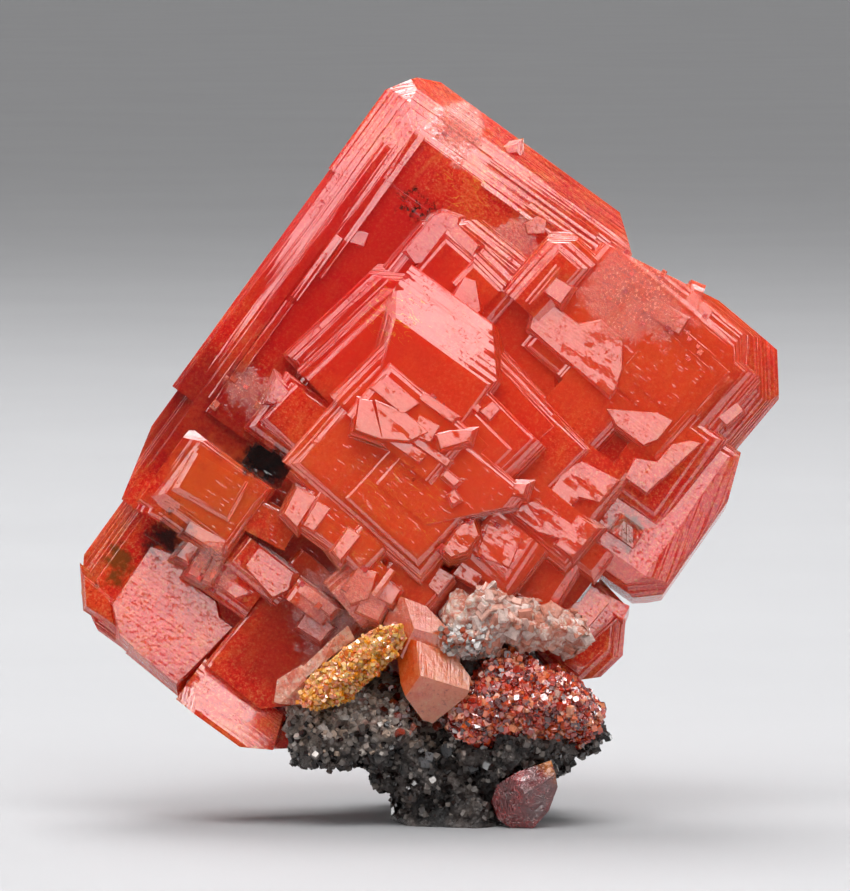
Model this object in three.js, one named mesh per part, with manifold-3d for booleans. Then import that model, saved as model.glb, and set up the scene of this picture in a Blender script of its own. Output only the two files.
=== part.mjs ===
// A specimen of wulfenite: a large stepped crystal with small crystals beside it, on a piece of dark rock.
// Millimetres, +Z up. The origin is the middle of the rock's flat foot, and the front faces -Y.
import * as THREE from "three";
import { ConvexGeometry } from "three/addons/geometries/ConvexGeometry.js";
import { mergeVertices } from "three/addons/utils/BufferGeometryUtils.js";
import Module from "manifold-3d";

const wasm = await Module();
wasm.setup();

// Driving dimensions
const LEAN_BACK = 4; // degrees that the crystal's flat face leans back from upright
const TURN = 36; // degrees that the crystal's long edge is turned from upright
const CRYSTAL_CENTRE = new THREE.Vector3(-1.6, 0, 24.7);
const GAP = 0.15; // between touching pieces
const SHALLOW = 30; // slope of the inner bevels, in degrees from the flat face
const STEEP = 62; // slope of the outer bevels
const CLOSE = 1e-4; // points nearer than this are one
const SIMPLEST = 0.03; // smallest edge kept
const COARSE = 1e-3; // as CLOSE, for the finished pieces

const radians = THREE.MathUtils.degToRad;
const tangent = (degrees) => Math.tan(radians(degrees));

// The crystal's own frame: u runs down to the right, v up to the right, and w out of its flat face.
function crystalFrame() {
  const right = new THREE.Vector3(1, 0, 0);
  const up = new THREE.Vector3(0, Math.sin(radians(LEAN_BACK)), Math.cos(radians(LEAN_BACK)));
  const turned = (a, b) => right.clone().multiplyScalar(a).addScaledVector(up, b);
  const u = turned(Math.cos(radians(TURN)), -Math.sin(radians(TURN)));
  const v = turned(Math.sin(radians(TURN)), Math.cos(radians(TURN)));
  const w = new THREE.Vector3().crossVectors(u, v);
  return new THREE.Matrix4().makeBasis(u, v, w).setPosition(CRYSTAL_CENTRE);
}

const FRAME = crystalFrame();
// World X in that frame
const LEVEL = new THREE.Vector3(Math.cos(radians(TURN)), Math.sin(radians(TURN)), 0);

// The corners of the solid behind all the planes; each plane is [normal, point on it].
function corners(planes, grow) {
  const sides = planes.map(([normal, point]) => {
    const n = new THREE.Vector3(...normal).normalize();
    return [n, n.dot(new THREE.Vector3(...point)) + grow];
  });
  const found = [];
  const inside = (p) => sides.every(([n, d]) => n.dot(p) <= d + CLOSE);
  for (let i = 0; i < sides.length; i++)
    for (let j = i + 1; j < sides.length; j++)
      for (let k = j + 1; k < sides.length; k++) {
        const [a, b, c] = [sides[i][0], sides[j][0], sides[k][0]];
        const across = new THREE.Vector3().crossVectors(b, c);
        const volume = a.dot(across);
        if (Math.abs(volume) < 1e-3) continue;
        const p = across.multiplyScalar(sides[i][1]);
        p.addScaledVector(new THREE.Vector3().crossVectors(c, a), sides[j][1]);
        p.addScaledVector(new THREE.Vector3().crossVectors(a, b), sides[k][1]);
        p.divideScalar(volume);
        if (inside(p) && found.every((q) => q.distanceTo(p) > CLOSE * 10)) found.push(p);
      }
  return found;
}

function solidOf(geometry, close = CLOSE) {
  const bare = geometry.clone();
  for (const name of ["normal", "uv"]) bare.deleteAttribute(name);
  const merged = mergeVertices(bare, close);
  const positions = merged.attributes.position.array;
  const triangles = new Uint32Array(merged.index.array);
  const mesh = new wasm.Mesh({ numProp: 3, vertProperties: positions, triVerts: triangles });
  return new wasm.Manifold(mesh);
}

const convex = (planes, matrix, grow) =>
  solidOf(new ConvexGeometry(corners(planes, grow)).applyMatrix4(matrix));

const joined = (solids) => solids.reduce((all, one) => all.add(one));

// A tilt about a point in the crystal's frame: tip turns the face up, lean turns it left,
// and spin turns it in its plane.
function tilt({ tip = 0, lean = 0, spin = 0 }, at) {
  const turn = (axis, degrees) => new THREE.Matrix4().makeRotationAxis(axis, radians(degrees));
  const upright = new THREE.Vector3(-LEVEL.y, LEVEL.x, 0);
  const move = new THREE.Matrix4().makeTranslation(...at);
  const back = new THREE.Matrix4().makeTranslation(...at.map((x) => -x));
  const about = turn(LEVEL, -tip).multiply(turn(upright, -lean));
  return move.multiply(about).multiply(turn(new THREE.Vector3(0, 0, 1), spin)).multiply(back);
}

// A tabular block. u and v are the ranges it covers, w is [back, front]; each side may have a bevel
// [shallow width, steep width] around the front, and cuts are further planes [normal, point].
function tablet(block, grow = 0) {
  const { u, v, w, slopes = [SHALLOW, STEEP], cuts = [], rear = 0 } = block;
  const [back, front] = w;
  const planes = [
    [[0, 0, 1], [0, 0, front]],
    [[0, 0, -1], [0, 0, back]],
  ];
  const sides = [
    [block.left, [-1, 0], u[0]],
    [block.right, [1, 0], u[1]],
    [block.bottom, [0, -1], v[0]],
    [block.top, [0, 1], v[1]],
  ];
  for (const [bevel = [0, 0], [x, y], edge] of sides) {
    const [inner, outer] = bevel;
    const sign = x + y;
    const at = (inset, level) => [x ? edge - sign * inset : 0, y ? edge - sign * inset : 0, level];
    const plane = (slope, point) => {
      const [s, c] = [Math.sin(radians(slope)), Math.cos(radians(slope))];
      return [[x * s, y * s, c], point];
    };
    planes.push([[x, y, 0], at(0, 0)]);
    if (inner) planes.push(plane(slopes[0], at(inner + outer, front)));
    if (outer) planes.push(plane(slopes[1], at(outer, front - inner * tangent(slopes[0]))));
    if (rear) planes.push([[x, y, -1], at(rear, back)]);
  }
  const pivot = block.pivot ?? [(u[0] + u[1]) / 2, (v[0] + v[1]) / 2, front];
  return convex([...planes, ...cuts], FRAME.clone().multiply(tilt(block, pivot)), grow);
}

// The big plates that make the crystal's outline
const TOP_LEFT_CUTS = [
  [[-0.85, 0.53, 0], [-14.3, 16.4, 0]],
  [[-0.45, 0.89, 0], [-13.0, 17.75, 0]],
  [[-0.45, 0.4, 0.8], [-13.6, 16.7, -1.5]],
];
const PLATES = [
  {
    u: [-14.7, 3.9], v: [-7.4, 18.1], w: [-8.5, 0], left: [2.5, 0.45], top: [2.3, 1.3], rear: 1.2,
    cuts: [...TOP_LEFT_CUTS, [[0.64, 0.77, 0], [2.9, 17.1, 0]]],
  },
  {
    u: [-14.8, -5], v: [9.5, 17.4], w: [-6, 0.02], left: [2.9, 0.15], top: [2, 1], bottom: [1.5, 0],
    cuts: TOP_LEFT_CUTS,
  },
  {
    u: [-14.3, 10.5], v: [-15.0, 12.8], w: [-7.6, -0.3], left: [0.12, 1.5], rear: 1,
    cuts: [
      [[-0.97, -0.25, 0], [-13.5, -13.3, 0]],
      [[0.8, 0.6, 0], [9.6, 11.6, 0]],
    ],
  },
  {
    u: [-13.0, 9.4], v: [-22.6, -7.0], w: [-7, -0.6], left: [0, 1.7], bottom: [0.2, 0.7], rear: 1.1,
    cuts: [
      [[-0.83, -0.56, 0], [-12.4, -20.2, 0]],
      [[-0.5, -0.87, 0], [-11.0, -21.7, 0]],
      [[-0.45, -0.5, 0.74], [-11.2, -20.9, -1.2]],
      [[0.62, -0.78, 0], [3.75, -22.2, 0]],
    ],
  },
  { u: [6.0, 14.0], v: [-6.0, 9.6], w: [-6.5, 1.1], rear: 1, spin: -2 },
  { u: [4.6, 9.4], v: [0.6, 8.7], w: [-4, 2.0], right: [0.6, 0.3], top: [0.5, 0.2], spin: -7 },
  { u: [5.2, 8.6], v: [-1.6, 5.2], w: [-4, 2.9], right: [0.5, 0.2], top: [0.4, 0.2], spin: -9 },
  { u: [-8.2, 5.4], v: [-16.5, 14.5], w: [-10.2, -4], rear: 2.2, spin: -2 },
  { u: [-3.6, 10.6], v: [-8.5, 11.0], w: [-11.4, -4], rear: 1.8, spin: 3 },
  { u: [-6.8, 1.0], v: [2.5, 12.5], w: [-11.0, -4], rear: 0.9, spin: -5 },
  { u: [-5.2, 3.0], v: [-16.5, -8.2], w: [-10.9, -4], rear: 1.1, spin: 6 },
  { u: [4.5, 13.8], v: [4.5, 14.6], w: [-9.0, -4], rear: 1.6, spin: -7 },
];

// Growth steps along the left and the top edge: [inner edge, from, to, rise]
const LEFT_STEPS = [
  [-13.0, -7.2, 8.6, 0.1],
  [-12.7, -6.6, 5.4, 0.2],
  [-12.05, -4.2, 1.2, 0.22],
  [-11.95, 1.6, 6.4, 0.19],
  [-11.5, 3.6, 14.6, 0.07],
];
const TOP_STEPS = [
  [16.6, -10.6, 2.3, 0.1],
  [16.2, -6.8, 1.4, 0.2],
  [15.3, -3.2, 1.6, 0.22],
  [14.75, -6.4, 1.8, 0.08],
];
const STEP_WIDTH = 0.55;

function edgeSteps() {
  const rib = ([edge, from, to, rise], along, across, inner) => {
    const level = Math.abs(edge - inner) * tangent(SHALLOW);
    const step = { w: [-4, rise - level + STEP_WIDTH * tangent(SHALLOW)] };
    const range = [edge, edge + STEP_WIDTH].map((x) => (across === "v" ? x - STEP_WIDTH : x));
    const side = across === "u" ? "left" : "top";
    return { ...step, [across]: range, [along]: [from, to], [side]: [STEP_WIDTH - 0.08, 0.05] };
  };
  return [
    ...LEFT_STEPS.map((step) => rib(step, "v", "u", -11.75)),
    ...TOP_STEPS.map((step) => rib(step, "u", "v", 14.5)),
  ];
}

// Low growth steps on a block's face, each given as [left, right, bottom, top, rise] from the step below
const stepped = (block, steps) => {
  const made = [block];
  for (const [left, right, bottom, top, rise] of steps) {
    const { u, v, w, ...rest } = made.at(-1);
    const thin = (bevel) => bevel && [Math.min(0.16, bevel[0]), 0.04];
    const names = ["left", "right", "bottom", "top"];
    const sides = Object.fromEntries(names.map((name) => [name, thin(rest[name])]));
    const across = { u: [u[0] + left, u[1] - right], v: [v[0] + bottom, v[1] - top] };
    const range = { ...across, w: [w[0], w[1] + rise] };
    const pivot = rest.pivot ?? [(u[0] + u[1]) / 2, (v[0] + v[1]) / 2, w[1]];
    made.push({ ...rest, ...sides, ...range, pivot });
  }
  return made;
};

// The stepped pyramid in the middle of the face
const PYRAMID = { pivot: [-1.2, 2.4, 3], spin: -10.5 };
const MIDDLE = [
  {
    u: [-8.5, 7.2], v: [-4.0, 12.4], w: [-2, 1.2], left: [0.7, 0.3], top: [0.9, 0.4], right: [0.6, 0.4],
    spin: -3,
    cuts: [
      [[-0.62, 0.78, 0], [-7.4, 10.7, 0]],
      [[-0.5, 0.5, 0.7], [-6.9, 10.5, 1.1]],
      [[0.5, 0.45, 0.7], [1.5, 11.4, 0.6]],
    ],
  },
  {
    u: [-6.6, -0.4], v: [6.9, 10.6], w: [-1, 1.75], top: [0.7, 0.15], right: [0.5, 0.2], left: [0.4, 0.1],
    spin: -5,
  },
  { u: [-4.1, -1.5], v: [8.0, 11.2], w: [-1, 2.1], top: [1.5, 0.1], left: [0.3, 0.1], spin: -8 },
  {
    ...PYRAMID, u: [-9.3, 7.2], v: [-3.3, 7.0], w: [-1, 2.2],
    left: [1.1, 0.15], top: [0.7, 0.2], right: [0.8, 0.4], bottom: [0.4, 0.4],
    cuts: [[[-0.62, 0.66, 0.42], [-7.7, 5.3, 1.9]]],
  },
  {
    ...PYRAMID, u: [-8.0, 6.8], v: [-3.3, 6.7], w: [-1, 2.6], left: [0.5, 0.1], top: [0.35, 0.12],
    right: [0.6, 0.3],
    cuts: [[[-0.62, 0.66, 0.42], [-6.9, 5.0, 2.4]]],
  },
  {
    ...PYRAMID, u: [-7.3, 6.4], v: [-3.2, 6.3], w: [-1, 2.95], left: [0.3, 0.1], top: [0.3, 0.1],
    right: [0.5, 0.3],
    cuts: [[[-0.62, 0.66, 0.42], [-6.3, 4.8, 2.8]]],
  },
  {
    u: [-6.9, 2.0], v: [1.0, 7.6], w: [0, 4.6], top: [3.2, 0.1], left: [0, 0.5], right: [0.2, 0.5],
    cuts: [
      [[-0.84, -0.32, 0.43], [-6.3, 5.2, 4.2]],
      [[0.63, 0.71, 0.3], [0.4, 6.2, 3.6]],
    ],
  },
  ...stepped(
    {
      u: [-5.8, 6.2], v: [-3.0, 4.2], w: [0, 4.3], left: [0.5, 0.15], right: [0.9, 0.3], top: [0.15, 0.1],
      spin: -9,
    },
    [
      [0.9, 1.5, 0.2, 1.5, 0.1],
      [0.8, 1.2, 0.1, 0.9, 0.12],
    ],
  ),
  {
    u: [-1.0, 7.3], v: [-5.0, 0.7], w: [0, 4.7], left: [0.5, 0.15], top: [0.4, 0.1], right: [0.6, 0.3],
    cuts: [[[0.76, -0.58, 0.28], [6.2, -1.5, 4.7]]],
    spin: -4,
  },
  {
    u: [-4.6, 2.5], v: [-2.6, 1.6], w: [2, 5.0], left: [0.4, 0.1], top: [0.3, 0.1], right: [0.5, 0.2],
    spin: -4,
  },
  { u: [1.35, 1.8], v: [2.5, 2.95], w: [0, 4.55], tip: 13 },
];

// The orange blocks under the middle and the ones down the left side
const LOWER = [
  {
    u: [-6.1, 5.8], v: [-8.2, -2.2], w: [-1, 4.25], spin: -5,
    left: [1.0, 0.12], right: [0.8, 0.4], bottom: [0.9, 0.5],
  },
  {
    u: [-1.5, 5.0], v: [-7.2, -1.8], w: [-1, 4.6], left: [0.35, 0.1], right: [0.5, 0.2],
    bottom: [0.4, 0.2], spin: -7,
  },
  ...stepped(
    {
      u: [-9.4, -5.0], v: [-6.9, -2.4], w: [-2, 2.7], left: [0.65, 0.15], bottom: [0.6, 0.3],
      top: [0.35, 0.1],
    },
    [[0.9, 0.4, 0.8, 0.5, 0.12]],
  ),
  { u: [-8.7, -5.2], v: [-6.2, -2.9], w: [-2, 3.1], left: [0.25, 0.1], bottom: [0.4, 0.2], spin: -7 },
  { u: [-4.4, 0.6], v: [-10.1, -7.2], w: [-1, 3.9], left: [1.2, 0.1], bottom: [0.4, 0.3] },
  {
    u: [-0.4, 2.4], v: [-10.0, -7.6], w: [-1, 4.2], left: [0.6, 0.1], bottom: [0.4, 0.3],
    right: [0.5, 0.3], spin: -8,
  },
  { u: [-7.4, -3.0], v: [-11.9, -9.6], w: [-2, 2.3], spin: 8, top: [0.4, 0.2], left: [0.3, 0.2] },
  {
    u: [-12.15, -5.5], v: [-14.6, -8.8], w: [-3, 2.8],
    left: [1.1, 0.12], bottom: [1.3, 0.3], right: [0.5, 0.3], top: [0.2, 0.2],
    cuts: [[[-0.5, 0.83, 0.2], [-11.3, -9.1, 2.3]]],
  },
  {
    u: [-11.0, -6.6], v: [-12.6, -9.6], w: [-3, 3.1], left: [0.3, 0.1], bottom: [0.4, 0.2],
    right: [0.4, 0.2], spin: 6,
  },
  { u: [-12.3, -10.3], v: [-14.8, -13.0], w: [-3, 2.3], left: [1.4, 0.1], bottom: [0.5, 0.1], spin: 8 },
  { u: [-5.5, -1.2], v: [-14.7, -12.2], w: [-2, 2.1], left: [0.3, 0.2], spin: -2, bottom: [0.5, 0.2] },
  { u: [-5.6, -2.4], v: [-16.6, -14.4], w: [-2, 1.6], bottom: [0.6, 0.2], left: [0.3, 0.2] },
  {
    u: [-2.5, 4.0], v: [-20.4, -11.0], w: [-4, 1.3], spin: -3,
    left: [0.2, 0.2], right: [0.5, 0.3], cuts: [[[0.7, -0.7, 0.1], [3.0, -19.4, 1]]],
  },
  {
    u: [-1.1, 1.9], v: [-13.9, -12.3], w: [-2, 2.9], top: [0.75, 0.1], right: [0.4, 0.2],
    left: [0.3, 0.1],
  },
  { u: [3.05, 3.55], v: [-10.5, -8.5], w: [-1, 4.5], left: [0.35, 0.05] },
  { u: [0.6, 4.6], v: [-12.2, -8.6], w: [-1, 3.7], left: [0.9, 0.1], right: [0.4, 0.3], spin: -14 },
  {
    u: [2.6, 7.2], v: [-11.2, -6.6], w: [-2, 3.4], left: [0.3, 0.2], right: [0.6, 0.4],
    bottom: [0.7, 0.4], spin: -5,
  },
  {
    u: [-2.9, 3.9], v: [-23.1, -19.9], w: [-5, 2.3], top: [2.8, 0.1],
    cuts: [
      [[0.5, -0.86, 0], [2.6, -22.8, 0]],
      [[0.9, 0.4, 0.1], [3.6, -21.2, 1.4]],
      [[-0.75, -0.3, 0.6], [-2.4, -22.0, 1.6]],
    ],
  },
];

// The crystal that has grown on at the upper right
const UPPER_RIGHT = [
  {
    u: [1.6, 16.5], v: [6.7, 17.2], w: [-6, 1.7], spin: -4, rear: 1.2,
    left: [0.5, 0.3], right: [3.3, 0.6], top: [1.2, 0.7], bottom: [0.3, 0.4],
    cuts: [
      [[0.74, 0.67, 0], [15.6, 15.9, 0]],
      [[-0.24, 0.97, 0], [5.2, 16.1, 0]],
      [[0.5, 0.45, 0.74], [14.4, 14.9, 0.4]],
    ],
  },
  ...stepped(
    {
      u: [4.6, 14.6], v: [7.0, 15.2], w: [-2, 2.0], spin: -5, left: [0.5, 0.15], right: [1.6, 0.3],
      top: [0.9, 0.3],
    },
    [
      [2.9, 2.1, 1.8, 1.6, 0.1],
      [1.1, 0.6, 0.9, 0.5, 0.09],
    ],
  ),
  { u: [13.6, 14.9], v: [8.4, 14.6], w: [-2, 1.35], spin: -4, left: [0.3, 0.1], right: [0.9, 0.1] },
  { u: [7.9, 8.9], v: [16.2, 17.3], w: [-4, 1.0], top: [0.4, 0.1], left: [0.3, 0.1], spin: 14 },
  {
    u: [-1.3, 2.2], v: [9.5, 15.1], w: [-2, 2.3], spin: -6,
    left: [0.9, 0.3], top: [1.2, 0.3], right: [0.5, 0.2],
    cuts: [[[-0.6, 0.7, 0.38], [-0.4, 14.2, 1.7]]],
  },
  { u: [0.2, 0.8], v: [9.9, 12.9], w: [-2, 2.55], left: [0.35, 0.05], spin: -4 },
  { u: [12.9, 13.5], v: [10.4, 13.6], w: [-2, 2.1], spin: -6, left: [0.3, 0.1], right: [0.3, 0.1] },
];

// The stairs and the crystal at the lower right
const RIGHT = [
  {
    u: [12.0, 17.8], v: [-1.0, 10.3], w: [-5, 1.3], pivot: [15, 4, 1.3], tip: 7, spin: 1, rear: 1.2,
    slopes: [25, 62],
    right: [1.35, 0.2], bottom: [1.1, 0.35], top: [0.5, 0.3],
    cuts: [
      [[0.94, 0.34, 0], [17.7, 7.6, 0]],
      [[0.66, -0.75, 0], [17.2, -0.3, 0]],
      [[0.5, -0.6, 0.62], [16.5, 0.0, 0.7]],
    ],
  },
  { u: [10.6, 15.6], v: [3.2, 10.4], w: [-4, 1.8], right: [1.0, 0.3], top: [0.7, 0.3], bottom: [0.6, 0.3] },
  { u: [12.9, 14.7], v: [1.4, 2.8], w: [0, 1.95], lean: -16, left: [0.2, 0.1], top: [0.3, 0.1] },
  {
    u: [7.8, 12.0], v: [0.2, 5.0], w: [-3, 2.5], right: [0.5, 0.3], bottom: [0.4, 0.2], left: [0.4, 0.2],
    spin: -2,
  },
  { u: [6.3, 12.4], v: [-2.4, 1.3], w: [-3, 3.1], right: [0.5, 0.3], bottom: [0.6, 0.3], spin: -3 },
  { u: [11.4, 14.1], v: [-1.9, 0.3], w: [-3, 2.2], right: [0.5, 0.3], bottom: [0.4, 0.3] },
  {
    u: [6.0, 10.5], v: [-6.1, -1.8], w: [-2, 4.0], tip: 4, spin: -3,
    right: [1.1, 0.3], bottom: [1.2, 0.4], left: [0.2, 0.1],
  },
  { u: [9.8, 13.2], v: [-5.9, -1.4], w: [-4, 2.2], right: [0.5, 0.4], bottom: [0.5, 0.3], spin: 4 },
  { u: [6.8, 10.9], v: [-8.6, -5.4], w: [-4, 2.4], bottom: [0.5, 0.4], right: [0.5, 0.4], spin: -6 },
  { u: [3.6, 11.6], v: [-13.6, -4.4], w: [-6, 0.7], right: [0.6, 0.6], spin: -8, rear: 1 },
];

// Flat faces that stand a little proud and look up by their tip: the corners as [u, v] and the level there
const FACETS = [
  // on the main face and its corners
  { level: 0.12, tip: 8, outline: [[-11.4, 7.2], [-10.9, 6.5], [-10.1, 6.8], [-10.3, 7.6]] },
  {
    level: 0.32, tip: 7, depth: 2,
    outline: [[-2.7, 13.9], [-2.2, 13.5], [-1.4, 14.1], [-1.8, 14.8], [-2.4, 14.7]],
  },
  { level: -1.58, tip: 7, outline: [[-6.6, 17.1], [-6.2, 16.9], [-5.8, 17.3], [-6.1, 17.7]] },
  {
    level: 1.37, tip: 7,
    outline: [
      [-7.75, 8.1], [-7.6, 10.9], [-7.3, 11.4], [-6.3, 11.7], [-5.6, 10.3], [-5.1, 9.3], [-6.8, 7.8],
    ],
  },
  { level: 1.47, tip: 8, outline: [[-6.2, 10.5], [-4.2, 10.3], [-4.3, 11.0], [-6.1, 11.3]] },
  { level: 2.37, tip: 7, outline: [[-3.8, 8.9], [-3.1, 9.1], [-1.8, 7.8], [-1.9, 7.3], [-3.6, 7.2]] },
  // the broken knob on the summit
  { level: 5.17, tip: 7, outline: [[-4.2, 1.1], [-4.4, -0.1], [-1.9, -0.3], [-1.5, 0.8]] },
  { level: 5.27, tip: 8, outline: [[-4.6, -1.1], [-3.9, -0.75], [-2.0, -2.3], [-3.7, -2.8]] },
  {
    level: 5.37, tip: 8,
    outline: [[-3.75, -0.6], [-1.9, -0.15], [0.0, -0.3], [-0.6, -1.4], [-2.0, -2.25]],
  },
  { level: 5.27, tip: 7, spin: 10, outline: [[-0.9, 0.4], [0.5, 0.3], [0.4, -0.8], [-0.8, -0.9]] },
  { level: 5.22, tip: 6, outline: [[-1.6, 1.1], [0.9, 1.1], [0.9, 1.5], [-1.6, 1.5]] },
  { level: 5.47, tip: 8, outline: [[0.6, -0.1], [1.2, 0.6], [2.2, 1.4], [2.4, 0.8], [1.3, -0.6]] },
  { level: 5.12, tip: 7, outline: [[-0.3, -0.95], [2.2, -0.9], [2.2, -1.3], [-0.3, -1.35]] },
  { level: 5.12, tip: 7, outline: [[-2.1, -1.5], [0.8, -1.5], [0.7, -2.1], [-1.9, -2.2]] },
  { level: 5.17, tip: 8, outline: [[2.4, -1.5], [3.4, -1.6], [3.3, -2.0], [2.4, -1.9]] },
  { level: 5.12, tip: 8, spin: -14, outline: [[3.4, -2.3], [4.1, -2.4], [4.0, -2.9], [3.4, -2.8]] },
  { level: 4.47, tip: 7, outline: [[1.9, 2.7], [2.2, 3.6], [2.8, 3.5], [2.7, 2.6]] },
  { level: 4.82, tip: 8, outline: [[6.3, 0.3], [6.9, 0.7], [7.1, 0.1], [6.6, -0.3]] },
  // below the summit
  { level: 4.05, tip: 6, outline: [[-4.5, -7.9], [-3.2, -7.7], [-3.1, -9.8], [-4.2, -9.6]] },
  { level: 4.1, tip: 7, outline: [[-3.0, -7.8], [-2.1, -7.7], [-2.1, -9.4], [-2.8, -9.5]] },
  { level: 4.4, tip: 7, outline: [[-0.45, -8.0], [0.4, -8.0], [0.3, -9.9], [-0.4, -9.7]] },
  { level: 2.92, tip: 6, outline: [[-9.6, -3.1], [-8.5, -3.2], [-8.4, -4.4], [-9.2, -4.6]] },
  // beside and under the cube at the left
  { level: 2.67, tip: 8, outline: [[-8.7, -13.5], [-6.2, -13.2], [-6.0, -14.0], [-8.6, -14.2]] },
  { level: 1.82, tip: 7, spin: -8, outline: [[-8.1, -14.5], [-7.4, -14.3], [-7.3, -15.6], [-8.0, -15.8]] },
  { level: 2.02, tip: 8, outline: [[-7.1, -14.3], [-6.4, -14.2], [-6.2, -16.1], [-6.9, -16.2]] },
  { level: 2.02, tip: 8, spin: 6, outline: [[-6.1, -14.4], [-5.6, -14.4], [-5.5, -15.9], [-6.0, -16.0]] },
  {
    level: 2.27, tip: 6,
    outline: [[-4.25, -12.3], [-1.6, -12.4], [-1.25, -13.4], [-1.75, -14.3], [-4.25, -13.75]],
  },
  { level: 1.77, tip: 6, outline: [[-5.1, -15.0], [-3.1, -15.0], [-3.6, -15.7], [-5.0, -15.7]] },
  { level: 3.02, tip: 7, outline: [[-0.75, -12.5], [1.9, -12.5], [1.8, -13.1], [-0.7, -13.1]] },
  { level: 2.32, tip: 8, depth: 2, outline: [[0.5, -13.4], [2.4, -13.6], [2.3, -14.8], [0.6, -14.9]] },
  { level: 4.17, tip: 5, outline: [[1.5, -9.6], [2.6, -9.3], [3.1, -10.8], [2.4, -11.7], [1.6, -11.4]] },
  { level: 4.07, tip: 6, outline: [[2.7, -10.6], [4.2, -10.3], [4.4, -11.6], [3.0, -11.9]] },
  { level: 4.22, tip: 7, outline: [[3.5, -9.2], [4.4, -9.3], [4.5, -10.3], [3.6, -10.4]] },
  // the big flat face at the lower left
  {
    plane: 0,
    outline: [
      [-9.8, -16.3], [-7.8, -15.75], [-7.0, -15.75], [-6.3, -17.3], [-6.3, -22.1], [-8.1, -21.9],
      [-9.6, -20.6],
    ],
  },
  { plane: 0, outline: [[-6.9, -16.75], [-4.5, -16.7], [-3.6, -17.5], [-3.5, -22.3], [-6.9, -22.1]] },
  { plane: 0, outline: [[-4.6, -17.4], [-2.6, -17.4], [-3.2, -20.9], [-3.4, -22.3], [-4.6, -22.2]] },
  {
    level: -0.18, tip: 3, lean: 8,
    outline: [[-12.0, -20.4], [-9.9, -20.6], [-8.9, -21.6], [-10.9, -21.7]],
  },
  // the upper right crystal
  { plane: 1, outline: [[0.6, 10.75], [4.0, 10.6], [4.0, 8.5], [1.4, 8.75]] },
  {
    plane: 1,
    outline: [[3.6, 8.55], [3.6, 10.5], [4.7, 11.7], [7.05, 11.5], [7.5, 10.0], [7.9, 9.4], [7.9, 8.25]],
  },
  {
    plane: 2,
    outline: [[7.7, 8.7], [10.9, 9.1], [12.0, 9.8], [11.9, 7.8], [11.4, 7.0], [9.4, 7.0], [7.8, 7.7]],
  },
  { level: 2.17, tip: 5, outline: [[6.2, 13.7], [9.1, 13.9], [9.0, 15.0], [6.6, 14.8]] },
  { level: 1.42, tip: 6, depth: 2, outline: [[8.0, 15.2], [10.1, 15.0], [10.0, 16.3], [8.3, 16.6]] },
  { level: 2.52, tip: 7, outline: [[0.6, 11.1], [2.0, 11.1], [2.0, 12.3], [0.8, 12.2]] },
  { level: 1.17, tip: 7, depth: 2, outline: [[14.2, 11.2], [14.9, 11.1], [15.2, 12.4], [14.6, 12.6]] },
  // the stairs
  { plane: 3, outline: [[11.5, 6.0], [12.7, 6.6], [13.6, 6.3], [13.3, 4.7], [11.7, 4.7]] },
  { plane: 3, outline: [[12.7, 6.2], [12.9, 8.6], [13.6, 8.9], [14.3, 9.7], [13.6, 6.0]] },
  { plane: 4, outline: [[8.4, 2.0], [8.4, 3.0], [8.9, 3.9], [11.4, 4.25], [11.25, 2.5], [10.0, 2.0]] },
  { plane: 4, outline: [[8.4, 0.75], [8.4, 2.4], [10.0, 2.4], [10.0, 0.75]] },
  { plane: 5, outline: [[6.4, -2.2], [7.5, -0.5], [7.7, 0.2], [10.8, 0.3], [10.8, -1.25], [9.2, -1.25]] },
  { plane: 5, outline: [[10.6, -1.25], [10.7, 1.0], [12.1, 1.1], [11.9, -1.25]] },
  {
    level: 4.67, tip: 6,
    outline: [[5.1, -3.75], [5.6, -3.1], [6.3, -3.6], [6.3, -4.9], [5.75, -5.7], [5.1, -5.6]],
  },
  { level: 4.12, tip: 5, spin: 10, outline: [[6.6, -2.3], [8.8, -2.4], [8.9, -4.3], [6.8, -4.5]] },
  { level: 3.47, tip: 7, depth: 2, outline: [[6.6, -5.2], [8.0, -5.2], [8.1, -6.3], [6.5, -6.5]] },
  { level: 3.52, tip: 6, depth: 2, outline: [[5.6, -6.7], [6.6, -6.6], [6.5, -8.1], [5.7, -8.0]] },
];

// Planes that several of those faces share
const SHARED = [
  { level: 0.42, tip: 6, pivot: [-6.5, -19.2], depth: 2.6 },
  { level: 2.22, tip: 5, pivot: [5.0, 10.2] },
  { level: 2.22, tip: 6, pivot: [9.8, 8.3] },
  { level: 2.17, tip: 6, pivot: [13.0, 7.0], depth: 2 },
  { level: 2.77, tip: 6, pivot: [9.9, 2.6] },
  { level: 3.32, tip: 6, pivot: [9.6, -0.4] },
];

const FACET_SPREAD = 0.45; // how much wider each is at its foot, on every side

function facet(given, grow = 0) {
  const { outline, level, pivot, depth = 1.2, ...turn } = { ...SHARED[given.plane], ...given };
  const side = Math.atan2(depth, FACET_SPREAD);
  const middle = [0, 1].map((k) => outline.reduce((sum, p) => sum + p[k], 0) / outline.length);
  const planes = [
    [[0, 0, 1], [0, 0, level]],
    [[0, 0, -1], [0, 0, level - depth]],
  ];
  outline.forEach(([a, b], i) => {
    const [c, d] = outline[(i + 1) % outline.length];
    const n = new THREE.Vector3(d - b, a - c, 0).normalize();
    if (n.x * (a - middle[0]) + n.y * (b - middle[1]) < 0) n.negate();
    n.multiplyScalar(Math.sin(side)).setZ(Math.cos(side));
    planes.push([n.toArray(), [a, b, level]]);
  });
  return convex(planes, FRAME.clone().multiply(tilt(turn, [...(pivot ?? middle), level])), grow);
}

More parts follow.
